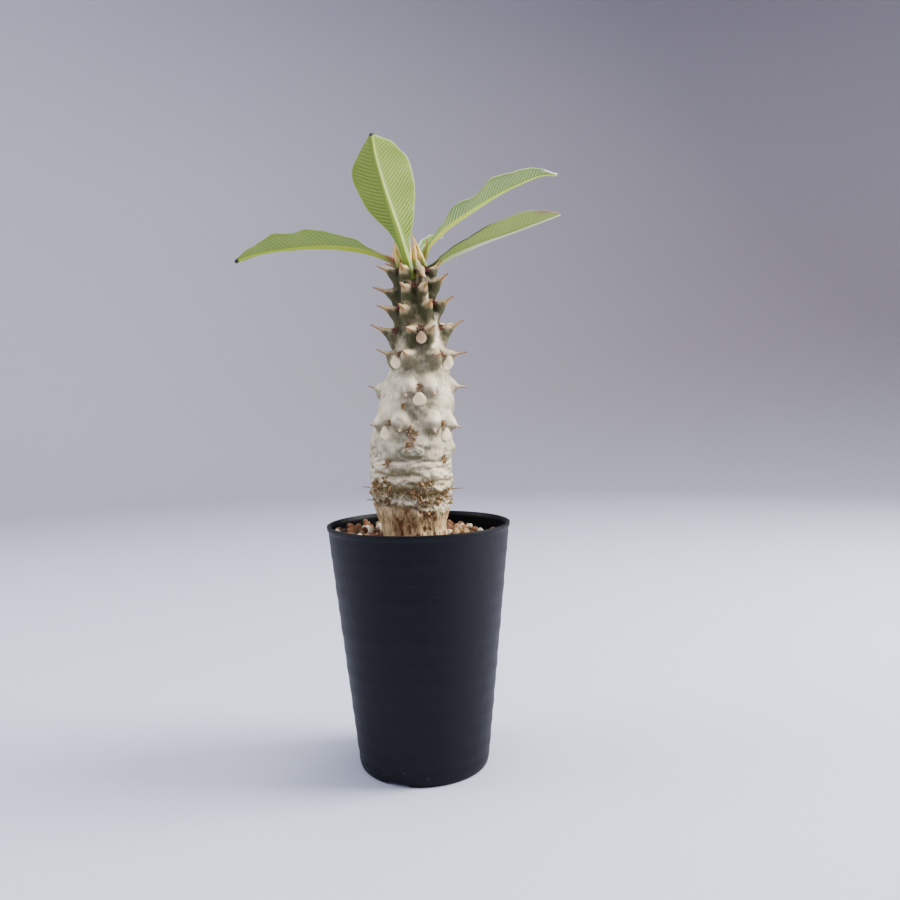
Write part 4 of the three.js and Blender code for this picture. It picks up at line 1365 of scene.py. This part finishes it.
def curve_points(points, count):
    """Evenly spaced points and directions of a centripetal Catmull-Rom curve."""
    points = np.asarray(points, float)
    ends = [2 * points[0] - points[1], *points, 2 * points[-1] - points[-2]]
    dense = []
    steps = np.linspace(0, 1, 60, endpoint=False)[:, None]
    for i in range(1, len(ends) - 2):
        p0, p1, p2, p3 = ends[i - 1:i + 3]
        d0, d1, d2 = (math.sqrt(np.linalg.norm(b - a)) for a, b in ((p0, p1), (p1, p2), (p2, p3)))
        start = ((p1 - p0) / d0 - (p2 - p0) / (d0 + d1) + (p2 - p1) / d1) * d1
        end = ((p2 - p1) / d1 - (p3 - p1) / (d1 + d2) + (p3 - p2) / d2) * d1
        square = -3 * p1 + 3 * p2 - 2 * start - end
        cube = 2 * p1 - 2 * p2 + start + end
        dense.append(p1 + start * steps + square * steps**2 + cube * steps**3)
    dense = np.concatenate([*dense, [points[-1]]])
    lengths = np.concatenate([[0], np.cumsum(np.linalg.norm(np.diff(dense, axis=0), axis=1))])
    at = np.linspace(0, lengths[-1], count)
    spaced = np.stack([np.interp(at, lengths, dense[:, i]) for i in range(3)], -1)
    tangents = np.gradient(spaced, axis=0)
    return spaced, tangents / np.linalg.norm(tangents, axis=1, keepdims=True), at


def vein_wave(along, across, spacing, lean):
    """1 on a side vein and 0 between two."""
    phase = (along - lean * np.abs(across) - VEIN_CURVE * across**2) / spacing
    return 0.5 + 0.5 * np.cos(2 * math.pi * phase)


def margin_width(margin, plain, share):
    """Half width along the leaf through the measured points of a margin, or else the plain one."""
    if margin is None:
        return plain
    measured = np.interp(share, *np.array(margin).T)
    window = np.hanning(17)
    padded = np.pad(measured, 8, mode="edge")
    return np.convolve(padded, window / window.sum(), mode="valid")


def make_leaf(name, midrib, facing, roll, fold, half_width, widest, ripple, veins, left=None, right=None):
    """A blade with its stalk. Left and right are the measured margins, seen along the stalk from above."""
    rows, columns = LEAF_ROWS, LEAF_COLUMNS
    middle, tangent, along = curve_points(midrib, rows)
    share = np.linspace(0, 1, rows)
    facing = unit(facing)
    side = np.cross(tangent, facing)
    side /= np.linalg.norm(side, axis=1, keepdims=True)
    angle = math.radians(roll)
    side = side * math.cos(angle) + np.cross(tangent, side) * math.sin(angle)
    normal = np.cross(side, tangent)
    blade = np.clip((share - STALK_SHARE) / (1 - STALK_SHARE), 0, 1)
    power = math.log(0.5) / math.log(widest)
    plain = half_width * np.sin(math.pi * blade**power) ** 0.78
    least = mix(STALK_HALF_WIDTH, 0.35, share)
    widths = [np.maximum(margin_width(margin, plain, share), least)[:, None] for margin in (right, left)]
    # Columns lie closer together at the midrib and at the margins
    even = np.linspace(-1, 1, columns)
    rate = np.sign(even) * (0.75 * np.abs(even) ** 1.35 + 0.25 * np.sin(np.abs(even) * math.pi / 2))
    share = share[:, None]
    across = np.where(rate < 0, widths[0], widths[1]) * rate
    size = np.abs(rate)
    opened = np.radians(fold) * smooth(0, 0.3, share)
    rise = np.abs(across) * np.sin(opened) * (1.25 - 0.25 * size)
    phase = np.where(rate < 0, 0.35, 0)
    wave = ripple * smooth(0.15, 0.35, share) * np.sin(2 * math.pi * (RIPPLES * share + phase)) * size**2
    fine_wave = 0.22 * ripple * np.sin(2 * math.pi * (11.3 * share + phase * 3)) * size**4
    in_blade = smooth(1.5, 4.0, np.abs(across)) * smooth(1.0, 0.86, size) * smooth(0.1, 0.2, share)
    on_vein = vein_wave(along[:, None], across, *veins)
    pleat = in_blade * PLEAT_DEPTH * (0.5 - on_vein)
    stalk = smooth(0.26, 0.05, share)
    rib = mix(1.9, 0.45, share**0.8) * bell(across, mix(1.5, 0.75, share) + 0.6 * stalk)
    groove = 0.25 * bell(across, 1.0) * smooth(0.1, 0.25, share)
    thickness = BLADE_THICKNESS * (1 - 0.55 * size**6) + (0.5 + 1.3 * bell(across, 2.2)) * stalk
    centred = 0.5 * (thickness + rib) * smooth(0.4, 0.1, share)
    sheet = centred + rise + wave + fine_wave + pleat
    top = sheet - groove
    base = sheet - thickness - rib - in_blade * VEIN_HEIGHT * on_vein**3
    points = middle[:, None] + side[:, None] * (across * np.cos(opened))[..., None]
    upper = points + normal[:, None] * top[..., None]
    lower = points + normal[:, None] * base[..., None]
    vertices = np.concatenate([upper.reshape(-1, 3), lower.reshape(-1, 3)])
    grid = np.arange(rows * columns).reshape(rows, columns)
    a, b, c, d = grid[:-1, :-1], grid[1:, :-1], grid[1:, 1:], grid[:-1, 1:]
    over = np.stack([a, b, c, d], -1).reshape(-1, 4)
    under = np.stack([d, c, b, a], -1).reshape(-1, 4) + rows * columns
    loop = np.concatenate([grid[0, :], grid[1:, -1], grid[-1, -2::-1], grid[-2:0:-1, 0]])
    after = np.roll(loop, -1)
    rim = np.stack([loop, after, after + rows * columns, loop + rows * columns], -1)
    faces = np.concatenate([over, under, rim])
    masks = {"along": along[:, None], "across": across, "edge": size, "share": share}
    for mask, values in masks.items():
        masks[mask] = np.tile(np.broadcast_to(values, (rows, columns)).ravel(), 2)
    masks["under"] = np.repeat([0.0, 1.0], rows * columns)
    return piece(f"{name}_blade", vertices, faces, leaf_material(name, *veins), name, masks)


# How each leaf's colour departs from the rest: shares of yellow and of dark green, redness of the stalk,
# length of the dark tip, strength of the veins, half width of the midrib's colour near the stalk and near
# the tip, and that colour
LEAF_TINTS = {
    "leaf_front": dict(yellow=0.15, dark=0.0, rosy=0.0, dark_tip=0.012, veins=0.34, rib_width=(1.9, 0.7),
                       ribs=((0.20, 0.30, 0.008), (0.36, 0.46, 0.05))),
    "leaf_left": dict(yellow=0.1, dark=0.1, rosy=1.0, dark_tip=0.018, veins=0.30, rib_width=(3.0, 1.2),
                      ribs=((0.30, 0.37, 0.004), (0.42, 0.52, 0.02))),
    "leaf_right_upper": dict(yellow=0.1, dark=0.6, rosy=0.15, dark_tip=0.0, veins=0.5, rib_width=(3.0, 1.0),
                             ribs=((0.34, 0.38, 0.01), (0.40, 0.50, 0.04))),
    "leaf_right_lower": dict(yellow=0.45, dark=0.1, rosy=0.1, dark_tip=0.0, veins=0.08, rib_width=(1.9, 0.8),
                             ribs=((0.48, 0.54, 0.15), (0.72, 0.76, 0.44))),
    "leaf_back": dict(yellow=0.0, dark=1.0, rosy=0.0, dark_tip=0.0, veins=0.5, rib_width=(0.9, 0.6),
                      ribs=((0.20, 0.30, 0.06), (0.60, 0.66, 0.40))),
}


def leaf_material(name, spacing, vein_lean):
    tint = LEAF_TINTS[name]
    shader = Shader(f"{name} skin")
    along, across, edge, share, under = map(shader.mask, ("along", "across", "edge", "share", "under"))
    far = across.math("ABSOLUTE")
    in_blade = far.step(1.0, 3.0) * edge.step(0.97, 0.78)
    # The blade: paler below, darker above, greener near the stalk
    blotch = shader.cloud(7)
    under_green = blotch.between((0.140, 0.235, 0.009), (0.215, 0.315, 0.020))
    under_green = under_green.painted(tint["yellow"], (0.33, 0.39, 0.055))
    under_green = under_green.painted(share.step(0.55, 0.15, 0.0, 0.45), (0.095, 0.190, 0.006))
    under_green = under_green.painted(tint["dark"], (0.060, 0.125, 0.012))
    over_green = blotch.between((0.105, 0.215, 0.035), (0.155, 0.28, 0.055))
    colour = under.between(over_green, under_green)
    # Side veins, each with a thin dark line beside it
    phase = (along - (far * vein_lean + across * across * VEIN_CURVE)) * (2 * math.pi / spacing)
    beside = (phase.math("SINE") * 0.5 + 0.5).step(0.66, 0.98)
    colour = colour.painted(beside * in_blade * (tint["veins"] * 0.75), (0.070, 0.130, 0.006))
    on_vein = (phase.math("COSINE") * 0.5 + 0.5).step(0.80, 1.0)
    whitish = shader.blend(tint["dark"], (0.46, 0.57, 0.22), (0.80, 0.86, 0.56))
    vein_colour = under.between((0.30, 0.42, 0.14), whitish)
    colour = colour.painted(on_vein * in_blade * tint["veins"], vein_colour)
    # Midrib and stalk
    rib = far.math("DIVIDE", share.step(0.1, 0.8, *tint["rib_width"])).step(1.15, 0.75) * 0.92
    rib_colour = share.step(0.1, 0.5).between(*tint["ribs"])
    colour = colour.painted(rib.math("MAXIMUM", share.step(0.18, 0.04)), rib_colour)
    colour = colour.painted(share.step(0.16, 0.06, 0.0, 0.9), (0.085, 0.110, 0.004))
    rosy = share.step(0.24, 0.06) * tint["rosy"] * under.step(1.0, 0.5, 0.25, 1.0)
    colour = colour.painted(rosy, (0.25, 0.070, 0.045))
    # Pale margin, and what marks single leaves, with a painted shadow line along the upper margin of the
    # right lower leaf
    margin = edge.step(0.955, 0.992) * share.step(0.08, 0.2)
    colour = colour.painted(margin * 0.5, (0.46, 0.54, 0.20))
    if name == "leaf_right_upper":
        curled = share.step(0.88, 0.95) * edge.step(0.5, 0.9)
        colour = colour.painted(curled, (0.80, 0.80, 0.66))
    if name == "leaf_back":
        colour = colour.painted(edge.step(0.84, 0.93), (0.66, 0.70, 0.48))
    if name == "leaf_right_lower":
        # Painted shadow: a dark line along the upper margin
        painted_shadow_line = edge.step(0.90, 0.96) * share.step(0.66, 0.50)
        colour = colour.painted(painted_shadow_line * 0.9, (0.035, 0.060, 0.008))
        dry = edge.step(0.45, 0.95) * share.step(0.84, 0.90) * shader.cloud(3).step(0.40, 0.55)
        colour = colour.painted(dry * 0.8, (0.26, 0.10, 0.05))
    if tint["dark_tip"]:
        tip = share.step(1 - tint["dark_tip"] * 1.6, 1 - tint["dark_tip"])
        colour = colour.painted(tip, (0.020, 0.014, 0.008))
    shader.set(Base_Color=colour, Roughness=under.step(0, 1, 0.38, 0.50), Specular_IOR_Level=0.4)
    shader.set(Normal=shader.bump(shader.cloud(0.6, 2), 0.05))
    return shader.material


for leaf_name, leaf_shape in LEAVES.items():
    make_leaf(leaf_name, **leaf_shape)


# Soil: a dark bed with loose grains of four kinds on it

SOIL_TOP = 131
STEM_HOLE = 19.4
# The gravel lies higher on the left, and a little against the stem on the right
SOIL_RISE = 4.2
SOIL_BANK = 1.5
SOIL_CLEAR = 0.35
BED_SIDES, BED_RINGS = 140, 22
BED_DEPTH = 5.5
BED_HOLLOW = 87
GRAIN_SIZES = (2.1, 4.0)
GRAINS_DROPPED = 760
GRAIN_REACH = 49.0
GRAIN_FLOOR = SOIL_TOP - 6.3
# The stem stands to the left of the pot's axis at the soil, and the grains beside it follow
STEM_LEAN = 2.2
# Grains sink a little into each other, and none lies higher than the ceiling
GRAIN_TOUCH = 0.86
GRAIN_CEILING = SOIL_TOP + 3.6
PORE_SHADE = 0.35
GRAIN_KINDS = {
    "clay": dict(share=0.40, light=(0.27, 0.115, 0.045), dark=(0.085, 0.030, 0.012), rough=0.85),
    "tan": dict(share=0.24, light=(0.44, 0.29, 0.145), dark=(0.17, 0.095, 0.040), rough=0.9),
    "pumice": dict(share=0.20, light=(0.80, 0.70, 0.56), dark=(0.48, 0.40, 0.29), rough=0.9),
    "lava": dict(share=0.16, light=(0.075, 0.040, 0.026), dark=(0.022, 0.012, 0.008), rough=0.8),
}


def grain_material(name, light, dark, rough):
    shader = Shader(f"{name} grains")
    pores = shader.cells(0.7)
    colour = shader.cloud(2.8, 4).step(0.3, 0.7).between(dark, light)
    colour = colour.painted(pores.step(0.28, 0.1, 0.0, 0.6), tuple(value * PORE_SHADE for value in dark))
    surface = shader.bump(shader.cloud(0.5, 4), 0.25)
    shader.set(Base_Color=colour, Roughness=rough, Normal=shader.bump(pores, 0.2, before=surface))
    return shader.material


def bed_material():
    shader = Shader("soil bed")
    colour = shader.cloud(3, 4).between((0.012, 0.008, 0.005), (0.05, 0.028, 0.015))
    shader.set(Base_Color=colour, Roughness=0.95, Normal=shader.bump(shader.cells(1.6), 0.8))
    return shader.material


def soil_lift(x):
    return SOIL_RISE * smooth(-10, -36, x) + SOIL_BANK * smooth(6, 14, x) * smooth(44, 30, x)


def make_soil_bed():
    """The closed body of the soil: a crumbly top ring round the stem, down to the pot's floor."""
    top = SOIL_TOP - BED_DEPTH
    base = FLOOR_THICKNESS + SOIL_CLEAR
    leaning = np.array([-2, 0, 0])
    rows = [ring(8.5, BED_HOLLOW, BED_SIDES)]
    for height in (90, 100, 112, top - 2):
        rows.append(ring(stem_at(float(height))[0] + 1.0, height, BED_SIDES) + leaning)
    for share in np.arange(BED_RINGS) / (BED_RINGS - 1):
        row = ring(mix(STEM_HOLE, inner_radius(top) - SOIL_CLEAR, share), 0, BED_SIDES)
        lump = noise(row, 4.0, 41) + noise(row, 1.7, 42)
        row[:, 2] = top + 1.6 * (lump - 1) + soil_lift(row[:, 0])
        rows.append(row + leaning * (1 - share))
    for height in (top - 4, 90, 50, 12, base + 2):
        rows.append(ring(inner_radius(height) - SOIL_CLEAR, height, BED_SIDES))
    rows.append(ring(30, base, BED_SIDES))
    vertices = np.concatenate([*rows, [[0, 0, BED_HOLLOW], [0, 0, base]]])
    faces = [face[::-1] for face in closed_faces(len(rows), BED_SIDES)]
    piece("soil_bed", vertices, faces, bed_material(), "soil")


def pile_of_grains():
    """Places of the grains, each dropped onto those below it: centre and radius."""
    random = np.random.default_rng(5)
    grains = []
    for _ in range(GRAINS_DROPPED):
        radius = random.uniform(*GRAIN_SIZES)
        reach = math.sqrt(random.uniform((STEM_HOLE + radius) ** 2, (GRAIN_REACH - radius) ** 2))
        x, y, _ = around(random.uniform(0, 360), reach, 0)
        x -= STEM_LEAN * (1 - (reach - 20) / 30)
        height = GRAIN_FLOOR + radius * 0.5 + soil_lift(x)
        for other_x, other_y, other_height, other_radius in grains:
            gap = (x - other_x) ** 2 + (y - other_y) ** 2
            touch = (radius + other_radius) * GRAIN_TOUCH
            if gap < touch**2:
                height = max(height, other_height + math.sqrt(touch**2 - gap))
        if height + radius <= GRAIN_CEILING + soil_lift(x):
            grains.append((x, y, height, radius))
    return grains


def grain_shape(random, ball):
    """A lumpy pebble with a few flats, cut from a ball's points."""
    stretch = random.uniform([0.85, 0.78, 0.68], [1.2, 1.05, 0.95])
    axes = np.linalg.qr(random.normal(size=(3, 3)))[0]
    lumps = noise(ball * 1.3 + random.uniform(0, 60, 3), 1.0, 8)[:, None]
    nicks = noise(ball * 3.1 + random.uniform(0, 60, 3), 1.0, 9)[:, None]
    points = ball * (0.80 + 0.44 * lumps + 0.16 * nicks)
    for flat in random.normal(size=(7, 3)):
        flat = unit(flat)
        beyond = np.maximum(points @ flat - random.uniform(0.62, 0.9), 0)
        points = points - 0.8 * beyond[:, None] * flat
    return points * stretch @ axes


def make_grains():
    random = np.random.default_rng(9)
    mesh = bmesh.new()
    bmesh.ops.create_icosphere(mesh, subdivisions=2, radius=1)
    mesh.verts.ensure_lookup_table()
    ball = np.array([vertex.co for vertex in mesh.verts])
    corners = np.array([[vertex.index for vertex in face.verts] for face in mesh.faces])
    mesh.free()
    shares = [kind["share"] for kind in GRAIN_KINDS.values()]
    grains = {name: [] for name in GRAIN_KINDS}
    for *place, radius in pile_of_grains():
        name = random.choice(list(GRAIN_KINDS), p=shares)
        grains[name].append(grain_shape(random, ball) * radius + place)
    for name, kind in GRAIN_KINDS.items():
        material = grain_material(name, kind["light"], kind["dark"], kind["rough"])
        faces = [corners + i * len(ball) for i in range(len(grains[name]))]
        piece(f"grains_{name}", np.concatenate(grains[name]), np.concatenate(faces), material)


make_soil_bed()
make_grains()


# Studio: a pale floor that rises all round, a soft sky and two soft lamps

FLOOR_RADIUS = 1500
SWEEP_RADIUS = 900
WALL_HEIGHT = 2600
SWEEP_STEPS = 16
FLOOR_SIDES = 96
# How far the floor lies under the pot
FLOOR_GAP = 0.05


def floor_material():
    """Pale paper whose rising back is painted greyer, most of all to the right: painted shade on the
    backdrop.
    """
    shader = Shader("studio paper")
    back = (shader.axis("Y") * 0.35 + shader.axis("Z")).step(60, 1150)
    # Painted shade: the rising back grows greyer towards the right
    grey = shader.axis("X").step(-1500, 1300).between((0.66, 0.66, 0.76), (0.40, 0.365, 0.40))
    colour = back.between((0.57, 0.60, 0.75), grey)
    shader.set(Base_Color=colour, Roughness=0.9, Specular_IOR_Level=0.1)
    return shader.material


def make_floor():
    profile = [(20, 0), (120, 0), (400, 0), (900, 0), (FLOOR_RADIUS, 0)]
    for i in range(1, SWEEP_STEPS + 1):
        angle = i / SWEEP_STEPS * math.pi / 2
        rise = SWEEP_RADIUS * (1 - math.cos(angle))
        profile.append((FLOOR_RADIUS + SWEEP_RADIUS * math.sin(angle), rise))
    profile.append((FLOOR_RADIUS + SWEEP_RADIUS, WALL_HEIGHT))
    rings = [ring(reach, height, FLOOR_SIDES) for reach, height in profile]
    vertices = np.concatenate([*rings, [[0, 0, 0]]]) - np.array([0, 0, FLOOR_GAP])
    faces = list(tube_faces(len(profile), FLOOR_SIDES))
    hub = len(vertices) - 1
    faces += [(hub, k, (k + 1) % FLOOR_SIDES) for k in range(FLOOR_SIDES)]
    mesh_object("floor", vertices, faces, floor_material())


# Name, place, what it is aimed at, size, power and colour of each lamp
LAMPS = [
    ("overhead", (0.15, 0.05, 1.75), (0, 0, 0), (1.0, 1.0), 34, (0.99, 0.985, 0.98)),
    ("right", (1.10, -0.02, 0.80), (0, 0, 0.2), (0.6, 0.9), 46, (1.0, 0.97, 0.93)),
    ("left", (-1.15, 0.0, 0.70), (0, 0, 0.2), (0.6, 0.9), 12, (0.94, 0.97, 1.0)),
]
SKY_COLOUR = (0.80, 0.83, 0.92, 1)
SKY_STRENGTH = 0.105


def make_lamp(name, place, aim, size, power, colour):
    data = bpy.data.lights.new(name, "AREA")
    data.shape = "RECTANGLE"
    data.size, data.size_y = size
    data.energy = power
    data.color = colour
    lamp = add_object(name, data)
    lamp.location = place
    lamp.rotation_mode = "QUATERNION"
    lamp.rotation_quaternion = (Vector(aim) - Vector(place)).to_track_quat("-Z", "Y")


def make_sky():
    world = bpy.data.worlds.new("sky")
    world.use_nodes = True
    background = world.node_tree.nodes["Background"]
    background.inputs["Color"].default_value = SKY_COLOUR
    background.inputs["Strength"].default_value = SKY_STRENGTH
    bpy.context.scene.world = world


make_floor()
make_sky()
for lamp_values in LAMPS:
    make_lamp(*lamp_values)
